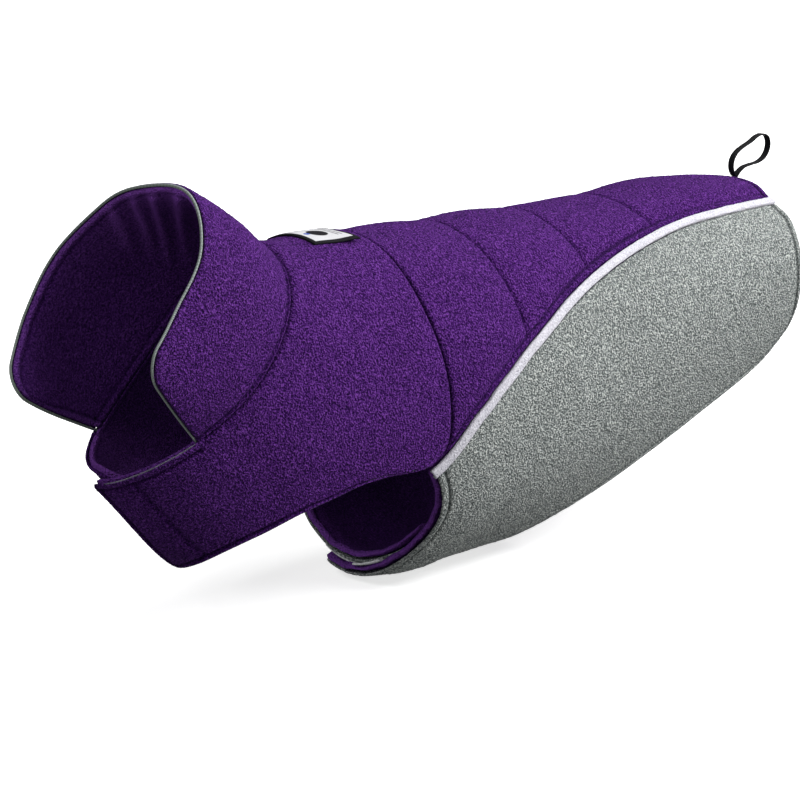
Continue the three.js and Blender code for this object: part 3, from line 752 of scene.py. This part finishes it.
# the last argument lightens the lining as a painted highlight, and below zero darkens it as painted shade
def addLining(name, base, normals, free, lift=0.0, lip=1.25, seam=99.0, paintedLight=0.0):
    nose = 1 - np.sqrt(1 - (1 - np.clip(free / liningLip["nose"], 0, 1)) ** 2)
    stitched = peak(free, liningLip["stitch"], liningLip["stitchWidth"])
    inner = -wall + 1.6 * nose - 0.5 * peak(free, liningLip["roll"], 1.4) + 0.5 * stitched
    inner = inner - 0.9 * peak(seam, liningLip["roll"], 1.6)
    under = cloth["outer"] + cloth["gap"]
    outer = -under + (under - lip) * (1 - ramp(1, 6, free)) - 1.1 * nose
    places = base + normals * (inner + lift)[..., None]
    # painted highlight along the lip at the free edge; painted shade on the seam and the stitch line, where
    # the pile is also stitched flat
    pressAndPaintedLight = 0.9 * stitched - 1.3 * np.exp(-(free / 3.4) ** 4)
    pressAndPaintedLight = pressAndPaintedLight + 1.2 * peak(seam, 0, 1.1) + 0.9 * peak(seam, liningLip["stitch"], liningLip["stitchWidth"])
    thick = np.maximum(outer - inner, 0.4)
    return addSheet(name, places, normals, materials["lining"], thick, {"pressAndPaintedLight": pressAndPaintedLight - paintedLight}, True)


front = makeFront(frontPiece)
print("coat: front piece made")


# quilted back piece
backPiece = {
    "columns": 130,
    "rows": 236,
    "firstSeam": 75.0,
    "pitch": 72.5,
    "quilts": 3,         # after these one long quilt runs to the hem
    "longQuilt": 0.52,
    "rise": 3.2,
    "spineShare": 0.35,
    "groove": 0.4,
    "margin": 5.0,
    "hem": 5.0,
    "hemRise": 0.2,
    "hemDip": 1.3,
    "pucker": 0.32,
    "wave": 0.5,
    "pile": 0.13,
}
# degrees round the body, then distance along the spine
rearHem = Curve([
    (0, 427), (20, 423.5), (39.2, 414.6), (57.4, 415), (72.8, 411.2), (87.6, 408.6),
    (100.9, 409), (111, 409), (119, 405.3),
])


firstSeam = Curve([
    (0, 75), (59, 75.1), (72.5, 75.4), (80.3, 75.5), (88.9, 75.4), (93.3, 75), (96.8, 74.1),
    (100.4, 72.1), (110, 66),
])


def firstSeamAt(deg):
    return firstSeam.at(np.abs(deg))[..., 0]


def backPlaces(u, side, edge):
    start = backPiece["firstSeam"]
    early = 1 - ramp(start, start + backPiece["pitch"] / 5, u)
    late = ramp(340, pipingRear, u)
    near = edgeDeg(u + (0.6 + firstSeamAt(0) - start) * early, -edge)
    widest = edgeDeg(u + (firstSeamAt(near) + 0.6 - start) * early, -edge)
    deg = side * widest
    hem = rearHem.at(np.abs(deg))[..., 0]
    return u + (firstSeamAt(deg) + 0.2 - start) * early + (hem - pipingRear) * late, deg


def makeBack(spec):
    u0 = spread(spec["firstSeam"], pipingRear, spec["rows"], 0.15)
    uGrid, sides = np.meshgrid(u0, spread(-1, 1, spec["columns"], 0.35), indexing="ij")
    u, deg = backPlaces(uGrid, sides, 3.4)
    base, normals = bodyPoint(u, deg), bodyNormal(u, deg)
    edges = edgeDistances(base)
    border, hem = np.minimum(edges["left"], edges["right"]), edges["bottom"]
    phase = (u - spec["firstSeam"]) / spec["pitch"]
    last = spec["quilts"]
    phase = np.where(phase > last, last + (phase - last) * spec["longQuilt"], phase)
    nearest = np.abs(phase - np.round(phase)) * spec["pitch"] + 40 * (phase > last + 0.5)
    flank = spec["spineShare"] + (1 - spec["spineShare"]) * ramp(8, 42, np.abs(deg))
    puff = spec["rise"] * flank * np.abs(np.sin(math.pi * phase)) ** 0.6 - spec["groove"]
    fade = ramp(spec["margin"] - 1, spec["margin"] + 11, border)
    calm = ramp(spec["hem"] - 1, spec["hem"] + 9, hem)
    random = np.random.RandomState(5)
    out = puff * fade * (0.25 + 0.75 * calm)
    arc = deg * 1.45 + drift(base, 60, 21) * 6
    pucker = np.sin(arc / 10.5 * math.tau + np.round(phase) * 2.1) * np.exp(-nearest / 6.5)
    out += spec["pucker"] * pucker * ramp(0, 4, nearest) * fade * calm
    out += groove(nearest, 1.1, 1.1) * ramp(1, 6, border) * ramp(8, 16, hem)
    fainter = 1 - 0.75 * ramp(270, 350, u)   # the seam beside the piping, towards the tail
    out += groove(border - spec["margin"], 1.1, 1.3) * fainter + tuck(border, 2.4, 1.1)
    out += rolledHem(hem, spec["hem"], spec["hemRise"], spec["hemDip"])
    out += tuck(edges["top"], 3.6, 1.3)
    out += spec["wave"] * drift(base, 45, 22) * fade + liftAt(u, deg)
    out += random.normal(0, spec["pile"], out.shape) * ramp(0.2, 2, np.minimum(border, hem))
    # pile stitched flat along the seams and hems, with painted shade in the quilting grooves, along the
    # margin seam and at the sewn top
    pressAndPaintedLight = 1.25 * peak(nearest, 0, 0.9) * ramp(8, 16, hem)
    pressAndPaintedLight = np.maximum(pressAndPaintedLight, 0.5 * (1 - ramp(spec["margin"] - 0.3, spec["margin"] + 1.3, border)))
    pressAndPaintedLight = np.maximum(pressAndPaintedLight, 1.6 * peak(border, spec["margin"], 0.9) * fainter)
    pressAndPaintedLight = np.maximum(pressAndPaintedLight, 1.5 * peak(hem, spec["hem"], 0.9))
    pressAndPaintedLight = np.maximum(pressAndPaintedLight, 0.9 * peak(edges["top"], 0, 1.4))
    places = base + normals * out[..., None]
    thick = 1.1 + (cloth["outer"] - 1.1) * ramp(0.5, 6, np.minimum(border, np.minimum(hem, edges["top"])))
    piece = addSheet("backPiece", places, normals, materials["purple"], thick, {"pressAndPaintedLight": pressAndPaintedLight})
    u0 = spread(spec["firstSeam"], pipingRear, 96, 0.6)
    uGrid, sides = np.meshgrid(u0, spread(-1, 1, 56), indexing="ij")
    u, deg = backPlaces(uGrid, sides, 1.0)
    inner, innerOut = bodyPoint(u, deg), bodyNormal(u, deg)
    liner = addLining("backLining", inner, innerOut, edgeDistances(inner)["bottom"], liftAt(u, deg))
    return {"piece": piece, "lining": liner, "places": places, "normals": normals, "edges": edges}


back = makeBack(backPiece)
print("coat: back piece made")


# grey side panels with their belly bands
sidePanel = {
    "columns": 230,
    "rows": 106,
    "leftBandEnd": 197,
    "rightBandEnd": 229,
    "corner": 6,
    "hem": 5.4,
    "hemRise": 0.1,
    "hemDip": 1.4,
    "rearFlare": 2.2,
    "lipForward": 2.2,
    "wave": 0.9,
    "pile": 0.14,
}
# degrees round the body, then distance along the spine
bandFront = Curve([
    (100, 69), (105, 73), (112.4, 78.4), (121.5, 82.6), (130.5, 83.6), (148, 83), (162, 84), (230, 84),
])
# share along the panel, then distance along the spine, and degrees
sideTop = Curve([
    (0, 72), (0.05, 78), (0.1, 87), (0.15, 101), (0.2, 118), (0.24, 131), (0.28, 145), (0.32, 159),
    (0.36, 173), (0.42, 194), (0.5, 222), (0.6, 259), (0.7, 297), (0.8, 337), (0.9, 376), (1, 413.6),
])
sideLow = Curve([
    (0.24, 186, 183), (0.28, 188.5, 171), (0.32, 194, 161.5), (0.36, 204, 154), (0.42, 221, 147),
    (0.5, 245, 141), (0.6, 279, 133.5), (0.7, 317, 130), (0.8, 353, 129.3), (0.9, 385, 127.2),
    (1, 405.3, 119),
])
bandLow = Curve([(0, 84), (0.05, 109), (0.1, 134), (0.15, 160), (0.2, 185)])


def bandSink(deg):
    return cloth["overlapSink"] * ramp(116, 157, deg) - 2.5 * ramp(196, 222, deg)


def bulge(edge, fromU, fromDeg, toU, toDeg, down):
    deg = fromDeg + (toDeg - fromDeg) * down
    start = edge.at(fromDeg)[..., 0] - fromU
    stop = edge.at(toDeg)[..., 0] - toU
    straight = fromU + (toU - fromU) * down
    return edge.at(deg)[..., 0] - straight - start * (1 - down) - stop * down


def sidePlaces(along, down, bandEnd, keep):
    topU, topDeg = besidePiping(sideTop.at(along)[..., 0], keep)
    low = sideLow.at(np.maximum(along, 0.24))
    turn = np.clip((along - 0.2) / 0.04, 0, 1)   # from the band's rear corner up its rear edge
    lowU = np.where(along < 0.24, 185 + turn, low[..., 0])
    lowU = np.where(along <= 0.2, bandLow.at(np.minimum(along, 0.2))[..., 0], lowU)
    lowDeg = np.where(along < 0.24, bandEnd + (183 - bandEnd) * turn, low[..., 1])
    lowDeg = np.where(along <= 0.2, bandEnd, lowDeg)
    firstU, firstDeg = besidePiping(np.array(72.0), keep)
    lastU, lastDeg = besidePiping(np.array(pipingRear), keep)
    frontPull = bulge(bandFront, firstU, firstDeg, 84, bandEnd, down) * (1 - along) ** 3
    rearPull = bulge(rearHem, lastU, lastDeg, 405.3, 119, down) * along ** 3
    return topU + (lowU - topU) * down + frontPull + rearPull, topDeg + (lowDeg - topDeg) * down


# line of stitches where the tape is sewn along the band, as (u, degrees)
bellyLine = np.array([
    (86, 149.5), (93, 148), (116, 142.5), (140, 144.5), (156, 146.3), (187, 145.4), (212, 142.6),
])


def sideGrid(sign, bandEnd, keep, columns, rows):
    along, down = np.meshgrid(spread(0, 1, columns, 0.45), spread(0, 1, rows, 0.45))
    u, deg = sidePlaces(along, down, bandEnd, keep)
    base, normals = bodyPoint(u, sign * deg), bodyNormal(u, sign * deg)
    if sign < 0:
        base = base - normals * bandSink(deg)[..., None]
    flare = sidePanel["rearFlare"] * ramp(330, 400, u) * ramp(60, 105, deg)
    base = base + normals * flare[..., None]
    edges = edgeDistances(base)
    free = np.minimum(np.minimum(edges["left"], edges["right"]), edges["bottom"])
    base = roundCorner(base, edges["left"], edges["bottom"], sidePanel["corner"])
    return base, normals, edges, free


def makeSide(spec, name, sign, bandEnd):
    base, normals, edges, free = sideGrid(sign, bandEnd, 3.4, spec["columns"], spec["rows"])
    count = len(bellyLine)
    lineU, lineDeg = (np.interp(np.linspace(0, count - 1, 60), range(count), bellyLine[:, k]) for k in (0, 1))
    belly, bellyOut = bodyPoint(lineU, sign * lineDeg), bodyNormal(lineU, sign * lineDeg)
    if sign < 0:
        belly = belly - bellyOut * bandSink(lineDeg)[:, None]
    fromBelly = distanceToLine(base, belly)
    random = np.random.RandomState(7 if sign > 0 else 8)
    out = rolledHem(free, spec["hem"], spec["hemRise"], spec["hemDip"]) + tuck(edges["top"], 2.0, 0.5)
    out += groove(fromBelly, 1.2, 0.8)
    calm = ramp(4, 16, np.minimum(free, edges["top"] + 3))
    out += spec["wave"] * drift(base, 85, 31) * calm + 0.3 * drift(base, 18, 32) * calm
    out += random.normal(0, spec["pile"], out.shape) * ramp(0.2, 2, np.minimum(free, edges["top"]))
    # pile stitched flat along the hem and the belly line, with painted shade in these grooves and at the top
    # seam
    pressAndPaintedLight = np.maximum(1.7 * peak(free, spec["hem"], 0.9), 0.8 * peak(fromBelly, 0, 0.9))
    pressAndPaintedLight = np.maximum(pressAndPaintedLight, 0.5 * peak(edges["top"], 0, 1.2))
    places = base + normals * out[..., None]
    thick = 1.2 + (cloth["outer"] - 1.2) * ramp(0.5, 6, np.minimum(free, edges["top"]))
    piece = addSheet(name + "Side", places, normals, materials["grey"], thick, {"pressAndPaintedLight": pressAndPaintedLight})
    inner, innerOut, near, freeIn = sideGrid(sign, bandEnd, 1.0, 150, 78)
    # the band's front edge carries a fuller roll that stands out before the fleece
    forward = spec["lipForward"] * peak(near["left"], 0, 2.6)
    inner = inner + unit(inner[:, :1] - inner[:, 2:3]) * forward[..., None]
    plump = (2.1 + 1.7 * drift(inner, 9, 33)) * peak(near["left"], 1.6, 2.6)
    # painted highlight along the band's lip and painted shade deeper inside
    paintedLight = 1.3 * peak(freeIn, 0, 3.6) - 1.0 * ramp(8, 20, freeIn)
    liner = addLining(name + "Lining", inner, innerOut, freeIn, -plump, paintedLight=paintedLight)
    return {"piece": piece, "lining": liner, "places": places, "normals": normals, "edges": edges,
            "belly": (belly - bellyOut * 0.5, bellyOut)}


left = makeSide(sidePanel, "left", 1, sidePanel["leftBandEnd"])
right = makeSide(sidePanel, "right", -1, sidePanel["rightBandEnd"])
bellyTape = {
    "columns": 70,
    "rows": 60,
    "fromDeg": 160,
    "toDeg": 203,
    "length": 66,
    "thick": 1.1,
    "forward": 3.2,   # how far it stands before the band's front edge
    "hidden": 4.0,    # how far its covered stretch lies back again
}


# loop tape on the outside of the right band, up to its front edge
def makeBellyTape(spec):
    degs = spread(spec["fromDeg"], spec["toDeg"], spec["rows"])
    reach, deg = np.meshgrid(spread(0, 1, spec["columns"]), degs)
    back = spec["hidden"] * (1 - ramp(181, 187, deg)) - spec["forward"]
    u = bandFront.at(deg)[..., 0] + back + spec["length"] * reach
    base, normals = bodyPoint(u, -deg), bodyNormal(u, -deg)
    base = base - normals * bandSink(deg)[..., None]
    free = np.minimum.reduce(list(edgeDistances(base).values()))
    band = 0.9 * sidePanel["wave"] * drift(base, 85, 31) * ramp(4, 16, spec["length"] * reach)
    places = base + normals * (1.6 + tuck(free, 0.8, 0.3) + band)[..., None]
    return addSheet("bellyLoopTape", places, normals, materials["tapePale"], spec["thick"])


bellyLoop = makeBellyTape(bellyTape)
print("coat: side panels made")


# raised fleece piping between the back and the sides
sidePiping = {
    "steps": 320,
    "around": 16,
    "half": 2.85,
    "height": 1.4,
    "foot": 2.2,
    "rag": 0.42,
    "tufts": [(7.0, 0.5), (3.6, 0.6), (2.2, 0.4)],   # length, amount
}


def makePiping(spec, name, sign):
    share = np.linspace(0, 1, spec["steps"] + 1) ** 1.25
    u = pipingFront + (pipingRear - 0.2 - pipingFront) * share
    deg = pipingLine.at(u)[..., 0]
    centre, out = bodyPoint(u, sign * deg), bodyNormal(u, sign * deg)
    ahead = bodyPoint(u + 0.5, sign * pipingLine.at(u + 0.5)[..., 0])
    across = unit(np.cross(out, ahead - centre))
    angle = np.linspace(-0.62, 0.62, spec["around"] + 1) * math.pi
    random = np.random.RandomState(41 if sign > 0 else 42)
    run = np.concatenate([[0], np.cumsum(np.linalg.norm(np.diff(centre, axis=0), axis=1))])
    rag = np.zeros((len(run), len(angle)))
    for size, amount in spec["tufts"]:
        knots = np.arange(-size, run[-1] + 2 * size, size)
        for k in range(len(angle)):
            rag[:, k] += amount * np.interp(run, knots, random.normal(0, 0.6, len(knots)))
    sine, cosine = np.sin(angle), np.cos(angle)
    wide = spec["half"] * (np.sign(sine) * np.abs(sine) ** 0.85)[None, :] * (1 + 0.07 * rag)
    tall = np.where(cosine > 0, np.abs(cosine) ** 0.6 * spec["height"], cosine * spec["foot"] / 0.37)
    tall = tall[None, :] + spec["rag"] * rag * np.clip(np.cos(angle), 0, 1)[None, :]
    places = centre[:, None] + across[:, None] * wide[..., None] + out[:, None] * tall[..., None]
    normals = across[:, None] * np.sin(angle)[None, :, None] + out[:, None] * np.cos(angle)[None, :, None]
    return addSheet(name, places, normals, materials["pale"], 1.0)


pipingLeft = makePiping(sidePiping, "leftPiping", 1)
pipingRight = makePiping(sidePiping, "rightPiping", -1)
print("coat: side piping made")


# collar, its lining and its reflective piping
collar = {
    "columns": 230,
    "rows": 58,
    "from": -123.8,
    "to": 126.0,
    "corner": 18.0,
    "bow": 3.0,
    "seamBead": 3.0,
    "seamRise": 0.5,
    "seamDip": 1.2,
    "wave": 0.8,
    "pile": 0.12,
    "pipingRadius": 0.95,
    "slump": 0.036,   # how much lower the far side stands
    "neckMiddle": (0, -140.0, -45.0),
    # soft folds of the lining: degrees at the top, lean, width, depth, lowest share
    "folds": [
        (-25, -44, 3.6, 1.8, 0.66), (-8, -56, 3.6, 3.0, 0.5),
        (6, -64, 3.6, 3.8, 0.38), (24, -72, 4.2, 3.8, 0.32),
    ],
}
# degrees round the neck, then how far the collar's top lies from its seam (x, y, z)
collarRises = Curve([
    (-124.5, -1.4, -61.5, 33.9), (-93.4, -15, -65, 39.5), (-62, -21, -71, 43), (-31, -13, -73, 45),
    (0, -2, -75, 46), (31.5, 2.7, -67.6, 51.6), (63, 3.5, -63, 49.5), (94.5, 5, -57.5, 54.2),
    (126, 18.3, -48.6, 53.2),
])


def collarPoint(deg, share):
    base = bodyPoint(0, deg)
    lift = collarRises.at(deg) * (1 - collar["slump"] * peak(np.asarray(deg, float), -41, 27))[..., None]
    outward = base - np.array(collar["neckMiddle"])
    outward = outward - lift * ((outward * lift).sum(-1) / (lift ** 2).sum(-1))[..., None]
    bow = collar["bow"] * np.sin(math.pi * np.asarray(share, float))
    return base + lift * np.asarray(share, float)[..., None] + unit(outward) * bow[..., None]


def collarNormal(deg, share):
    up = collarPoint(deg, share + 0.02) - collarPoint(deg, share - 0.02)
    around = collarPoint(deg + 1, share) - collarPoint(deg - 1, share)
    own = unit(np.cross(up, around))
    mix = ramp(0, 0.3, share)[..., None]
    return unit(bodyNormal(0, deg) * (1 - mix) + own * mix)


def collarHeight(deg):
    height = np.linalg.norm(collarRises.at(deg), axis=-1)
    end = np.where(deg > 0, collar["to"], collar["from"])
    inside = np.linalg.norm(bodyPoint(0, deg) - bodyPoint(0, end), axis=-1)
    short = np.clip(collar["corner"] - inside, 0, collar["corner"])
    return 1 - (collar["corner"] - np.sqrt(collar["corner"] ** 2 - short ** 2)) / height


def makeCollar(spec):
    degs = spread(spec["from"], spec["to"], spec["columns"], 0.72)
    share = spread(0.0005, 1, spec["rows"], 0.4)
    deg, row = np.meshgrid(degs, share)
    height = row * collarHeight(deg)
    base, normals = collarPoint(deg, height), collarNormal(deg, height)
    edges = edgeDistances(base)
    free = np.minimum(np.minimum(edges["left"], edges["right"]), edges["bottom"])
    sewn = edges["top"]
    random = np.random.RandomState(51)
    out = tuck(free, 3.4, 1.2) + rolledHem(sewn, spec["seamBead"], spec["seamRise"], spec["seamDip"])
    calm = ramp(0, 12, np.minimum(free, sewn))
    out += spec["wave"] * drift(base, 75, 52) * calm + 0.3 * drift(base, 18, 53) * calm
    out += random.normal(0, spec["pile"], out.shape) * ramp(0.2, 2, free)
    # pile stitched flat beside the seam bead, with painted shade in its groove
    pressAndPaintedLight = 1.4 * peak(sewn, spec["seamBead"], 0.9)
    places = base + normals * out[..., None]
    thick = 1.0 + (cloth["outer"] - 1.0) * ramp(0.5, 6, np.minimum(free, sewn))
    piece = addSheet("collarPiece", places, normals, materials["purple"], thick, {"pressAndPaintedLight": pressAndPaintedLight})
    deg, row = np.meshgrid(spread(spec["from"], spec["to"], 200, 0.6), spread(0.0005, 1, 50, 0.4))
    height = row * collarHeight(deg)
    base, normals = collarPoint(deg, height), collarNormal(deg, height)
    edges = edgeDistances(base)
    free = np.minimum(np.minimum(edges["left"], edges["right"]), edges["bottom"])
    dip, crestHighlight = np.zeros_like(deg), np.zeros_like(deg)
    for top, lean, width, depth, lowest in spec["folds"]:
        ridge = top + lean * (1 - height)
        reach = ramp(lowest - 0.25, lowest + 0.3, height)
        dip += depth * peak(deg, ridge, width) * reach * ramp(0.5, 9, free)
        crestHighlight = np.maximum(crestHighlight, reach * peak(deg, ridge - 2, 0.8 * width))
    lift = -dip - 0.5 * (drift(base, 50, 54) + 1) * ramp(0, 12, free)
    # painted highlights on the fold crests and on the upper inside of the collar
    paintedLight = 3.0 * crestHighlight + 0.9 * ramp(0.5, 0.9, height) * ramp(-120, -30, deg)
    paintedLight = paintedLight + 1.2 * ramp(0.6, 0.95, height) * ramp(-25, 10, deg)
    liner = addLining("collarLining", base, normals, free, lift, 2.3, edges["top"], paintedLight)
    return {"piece": piece, "lining": liner}


def addTube(name, centre, across, out, half, tall, material, around=12, square=1.0):
    angle = np.linspace(0, math.tau, around + 1)
    c = np.sign(np.cos(angle)) * np.abs(np.cos(angle)) ** square
    s = np.sign(np.sin(angle)) * np.abs(np.sin(angle)) ** square
    places = centre[:, None] + across[:, None] * (half * c)[None, :, None]
    places = places + out[:, None] * (tall * s)[None, :, None]
    bm = bmesh.new()
    bm.loops.layers.uv.new("UVMap")
    rows = len(centre)
    bmesh.ops.create_grid(bm, x_segments=around, y_segments=rows - 1, size=0.5, calc_uvs=True)
    for v in bm.verts:
        v.co = places[round((v.co.y + 0.5) * (rows - 1)), round((v.co.x + 0.5) * around)] * mm
    bmesh.ops.remove_doubles(bm, verts=bm.verts, dist=1e-6)
    bmesh.ops.holes_fill(bm, edges=[e for e in bm.edges if e.is_boundary], sides=0)
    bmesh.ops.recalc_face_normals(bm, faces=bm.faces)
    mesh = bpy.data.meshes.new(name)
    bm.to_mesh(mesh)
    bm.free()
    mesh.polygons.foreach_set("use_smooth", [True] * len(mesh.polygons))
    mesh.materials.append(material)
    piece = bpy.data.objects.new(name, mesh)
    bpy.context.scene.collection.objects.link(piece)
    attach(piece, "root")
    return piece


def makeCollarPiping(spec):
    degs = spread(spec["from"], spec["to"], 320, 0.72)
    climb = np.linspace(-0.04, 1, 46)[:-1]
    start, stop = np.full(45, spec["from"]), np.full(45, spec["to"])
    deg = np.concatenate([start, degs, stop])
    up, down = climb * collarHeight(start), (climb * collarHeight(stop))[::-1]
    share = np.concatenate([up, collarHeight(degs), down])
    place, out = collarPoint(deg, share), collarNormal(deg, share)
    ahead = np.gradient(place, axis=0)
    across = unit(np.cross(ahead, out))
    inner = collarPoint(deg * 0.9, share * 0.8)
    across = np.where(((across * (place - inner)).sum(-1) < 0)[:, None], -across, across)
    # the two short corners would kink without a little smoothing
    for _ in range(10):
        across[1:-1] = unit(across[:-2] + 2 * across[1:-1] + across[2:])
    centre = place + across * (spec["pipingRadius"] + 0.1) - out * (cloth["outer"] + cloth["gap"] / 2 - 0.6)
    return addTube("collarPiping", centre, across, out, spec["pipingRadius"] * 0.75, spec["pipingRadius"],
                   materials["reflective"], 12)


collarParts = makeCollar(collar)
collarPiping = makeCollarPiping(collar)
print("coat: collar made")


# woven label on the shoulders
label = {
    "columns": 48,
    "rows": 36,
    "from": -17.0,
    "to": 16.0,
    "low": 0.43,
    "high": 0.85,
    "thick": 0.7,
    "curl": 2.6,   # how far the near corner stands up
}


def makeLabel(spec):
    shares = spread(spec["low"], spec["high"], spec["rows"])
    neck, share = np.meshgrid(spread(spec["to"], spec["from"], spec["columns"]), shares)
    u, deg, _ = frontPlaces(neck, share)
    base, normals = bodyPoint(u, deg), bodyNormal(u, deg)
    edges = edgeDistances(base)
    free = np.minimum(np.minimum(edges["left"], edges["right"]), np.minimum(edges["top"], edges["bottom"]))
    corner = np.hypot(edges["left"], edges["bottom"])
    out = 1.25 + tuck(free, 1.4, 0.5) + groove(free - 2.0, 0.5, 0.12) + spec["curl"] * peak(corner, 0, 13)
    out = out + frontPiece["wave"] * drift(base, 70, 11) + shoulderPuff(neck, share)
    places = base + normals * out[..., None]
    return addSheet("wovenLabel", places, normals, materials["label"], spec["thick"])


labelPiece = makeLabel(label)


# black elastic loop at the tail
tailLoop = {
    "half": 2.5,
    "tall": 0.5,
    # closed line from the hem out and back, as (y, z)
    "line": [
        (352.6, 1.6), (350.4, 5.2), (349.8, 9.6), (351.6, 14.4), (355.8, 18.2), (361.6, 20.8),
        (368.6, 23.2), (375.4, 26.4), (381, 27.2), (385.6, 25.2), (387.4, 20.6), (386.3, 15.4),
        (382.6, 11), (376.6, 8.4), (369, 7.6), (361.6, 6.4), (356.4, 3.4), (352.8, -0.6),
    ],
}


def makeLoop(spec):
    knots = np.array(spec["line"], float)
    run = np.concatenate([[0], np.cumsum(np.linalg.norm(np.diff(knots, axis=0), axis=1))])
    path = Curve(np.column_stack([run, knots])).at(np.linspace(0, run[-1], 110))
    centre = np.column_stack([np.zeros(len(path)), path])
    across = np.tile([1.0, 0, 0], (len(path), 1))
    out = unit(np.cross(np.gradient(centre, axis=0), across))
    return addTube("tailLoop", centre, across, out, spec["half"], spec["tall"],
                   materials["elastic"], 20, 0.45)


loop = makeLoop(tailLoop)
print("coat: label and loop made")


# stitches
purpleLines = [
    lineBeside(front, "left", frontPiece["endHem"], 0.06, 0.94),
    lineBeside(front, "right", frontPiece["endHem"], 0.06, 0.94),
    lineBeside(back, "bottom", backPiece["hem"], 0.06, 0.94),
    lineBeside(back, "left", backPiece["margin"], 0.02, 0.98),
    lineBeside(back, "right", backPiece["margin"], 0.02, 0.98),
]
purpleThreads = addStitches("purpleThreads", purpleLines, materials["threadPurple"])
greyLines = []
for panel in (left, right):
    greyLines.append(lineBeside(panel, "left", sidePanel["hem"], 0.05, 0.97))
    greyLines.append(lineBeside(panel, "right", sidePanel["hem"], 0.05, 0.95))
    greyLines.append(lineBeside(panel, "bottom", sidePanel["hem"], 0.23, 0.985))
    greyLines.append(panel["belly"])
greyThreads = addStitches("greyThreads", greyLines, materials["threadGrey"])
print("coat: stitches made")


# hide the solids that the made pieces take the place of
declare(["front_piece"])
declare(["lining_front"])
declare(["back_piece"])
declare(["lining_back"])
for parts, node, tag in ((left, "side_left", "lining_left"), (right, "side_right", "lining_right")):
    declare([node])
    declare([tag])
declare(["piping_left"])
declare(["piping_right"])
declare(["collar"])
declare(["lining_collar"])
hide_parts("piping_collar")
declare(["belly_tape_loop"])
declare(["label"])
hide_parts("tail_loop")
# the three tapes that can't be seen keep their solids, with a cloth finish
hiddenTapes = {"chest_tape_hook": "tapeBlack", "chest_tape_loop": "tapeBlack", "belly_tape_hook": "tapePale"}
for node, tape in hiddenTapes.items():
    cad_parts[node].data.materials.clear()
    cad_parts[node].data.materials.append(materials[tape])


# stage
def addStage(studio):
    addCamera(view)
    for name, toward, distance, size, power in studio["softboxes"]:
        addSoftbox(name, toward, distance, size, power)
    world = bpy.data.worlds.new("studio")
    world.use_nodes = True
    sky = world.node_tree.nodes["Background"]
    sky.inputs["Color"].default_value, sky.inputs["Strength"].default_value = (1, 1, 1, 1), studio["world"]
    bpy.context.scene.world = world
    bm = bmesh.new()
    bmesh.ops.create_grid(bm, x_segments=2, y_segments=2, size=studio["floorSize"])
    bmesh.ops.translate(bm, verts=bm.verts, vec=(0, 0, studio["floorHeight"]))
    mesh = bpy.data.meshes.new("floor")
    bm.to_mesh(mesh)
    bm.free()
    floor = bpy.data.objects.new("floor", mesh)
    bpy.context.scene.collection.objects.link(floor)
    paper = Shader("floorPaper")
    grain = paper.noise(paper.place(), 30, 2.0)
    tone = paper.blend(grain, studio["floorColour"], studio["floorFleck"])
    away = paper.node("ShaderNodeVectorMath", {"operation": "LENGTH"}, {0: paper.place()}, "Value")
    # the floor fades to white away from the coat
    glow = ((away - studio["glowFrom"]) / studio["glowOver"]).held()
    glow = paper.blend(glow, studio["floorGlow"], (1, 1, 1, 1))
    mesh.materials.append(paper.finish(tone, 0.9, None, Emission_Color=glow, Emission_Strength=1.0))
    floor.visible_diffuse = False
    floor.visible_glossy = False
    bpy.context.scene.view_settings.view_transform = "Standard"


addStage(studio)
print("coat: stage set")
